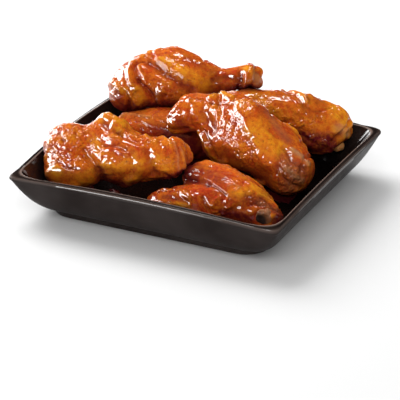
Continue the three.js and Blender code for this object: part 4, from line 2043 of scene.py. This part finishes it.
BACK_TOP_MARKS = (
    crease(
        "deep fold, upper bend", 2.4, 2.6,
        (143, 60), (137, 62), (134, 67), (135, 74), (138, 81), sauce=0.6,
    ),
    crease(
        "deep fold, lower run", 3.0, 2.8,
        (138, 81), (144, 87), (149, 93), (154, 100), (158, 106), sauce=0.7,
    ),
    fold("lip of the deep fold", 1.1, 1.8, (138, 66), (141, 72), (145, 78), (145, 85), fat=0.3),
    fold("left roll", 1.0, 3.2, (132, 62), (129, 70), (130, 80), (136, 88), fat=0.3),
    crease(
        "groove in the left lobe", 2.2, 2.8,
        (121, 84), (125, 92), (129, 99), (130, 105), (129, 111), char=0.7,
    ),
    # This char is painted shade on the left lobe's foot, where the next lobe shades it.
    stain("brown foot of the left lobe", 5, (121, 103), (126, 106), char=0.7),
    fold("orange oval", 1.0, 3.4, (122, 83), (121, 90), fat=0.3),
    stain("bright lumps at the left", 5, (115, 80), (116, 90), lumps=1.2),
    stain("bright lumps beside the groove", 4, (128, 82), (132, 92), (135, 98), lumps=1.2),
    hollow(
        "long hollow", 2.0, 5.0,
        (149, 62), (156, 65), (163, 71), (172, 77), (181, 83), (191, 89), char=0.85,
    ),
    fold("roll above the hollow", 0.9, 4.0, (160, 60), (172, 66), (186, 73), (198, 80), fat=0.9),
    stain("yellow back", 8, (163, 64), (174, 70), (187, 76), fat=1.1),
    stain("yellow towards the neck", 6, (195, 81), (209, 87), fat=1.0),
    stain("yellow fold", 5, (138, 91), (142, 100), (147, 108), fat=1.0),
    stain("brown edge", 5, (188, 59), (202, 66), (214, 73), char=0.5),
    hollow("notch in the outline", 1.2, 4.0, (152, 57)),
    stain("dull back", 15, (150, 60), (165, 68), (182, 76), (200, 84), dry=1.1),
    stain("dark dot", 1.2, (165.5, 53), sauce=1.0),
    stain("second dot", 1.0, (174, 52), sauce=0.8),
    # The char along the neck's groove is a painted shadow under the neck; the brown below it is partly
    # painted shade.
    hollow("groove along the neck", 1.0, 3.0, (213, 80), (225, 77), (235, 79), (240, 81), char=0.7),
    stain("brown neck", 5, (213, 88), (232, 87), char=0.6),
    # The sauce in the cavity and the hole at the knob is partly sauce and partly painted shade.
    crease("cavity at the knob", 2.2, 3.4, (240, 73), (240, 82), (237, 92), sauce=1.1),
    hollow("hole under the knob", 2.0, 4.0, (235, 92), sauce=1.0),
    fold("bright edge of the knob", 1.2, 1.9, (247, 74), (246, 82), (243, 90)),
    stain("yellow top of the knob", 4, (247, 68), (254, 70), fat=1.2),
    stain("grey end of the knob", 5, (257, 76), (258, 86), pale=0.5, char=0.4, dry=0.4),
    stain("mottled front", 11, (160, 93), (178, 96), (196, 98), char=0.4),
    stain("fine lumps on it", 9, (160, 92), (178, 96), lumps=0.35),
)

# Each wing's fat_and_light_share is partly its own tone and partly painted light on dim wings, with painted
# shade on the brightly lit back floor wing.
WINGS = (
    Wing("wing_back_floor", 31, BACK_FLOOR_MARKS, fat_and_light_share=-0.2),
    Wing("wing_front", 32, FRONT_MARKS, fat_and_light_share=0.0, underside_painted_shade=0.4, underside_sauce_and_shade=0.6),
    Wing("wing_right", 33, RIGHT_MARKS, fat_and_light_share=0.30),
    Wing("wing_left", 34, LEFT_MARKS, fine_voxel=0.355, fat_and_light_share=0.10),
    Wing("wing_middle", 35, MIDDLE_MARKS, fine_voxel=0.377, fat_and_light_share=0.10, underside_painted_shade=0.1, underside_sauce_and_shade=0.1),
    Wing("wing_back_top", 36, BACK_TOP_MARKS, fat_and_light_share=0.10),
)


def main() -> None:
    """Builds the studio, the dish and the wings."""
    logging.basicConfig(level=logging.INFO, format="%(name)s: %(message)s")
    StudioCamera().build()
    Studio().build()
    skin = GlazedSkin().make()
    makers: list[Callable[[], bpy.types.Object]] = [Dish().build]
    for wing in WINGS:
        others = surfaces(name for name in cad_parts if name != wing.node)
        makers.append(lambda wing=wing, others=others: wing.build(others, skin))
    heap = surfaces(wing.node for wing in WINGS)
    makers.append(lambda: SauceFilm().build(heap, WetSauce().make()))
    makers += [end.build for end in BONES]
    for make in makers:
        piece = make()
        piece.data.calc_loop_triangles()
        log.info("%s: %d triangles", piece.name, len(piece.data.loop_triangles))


if __name__ == "__main__":
    main()
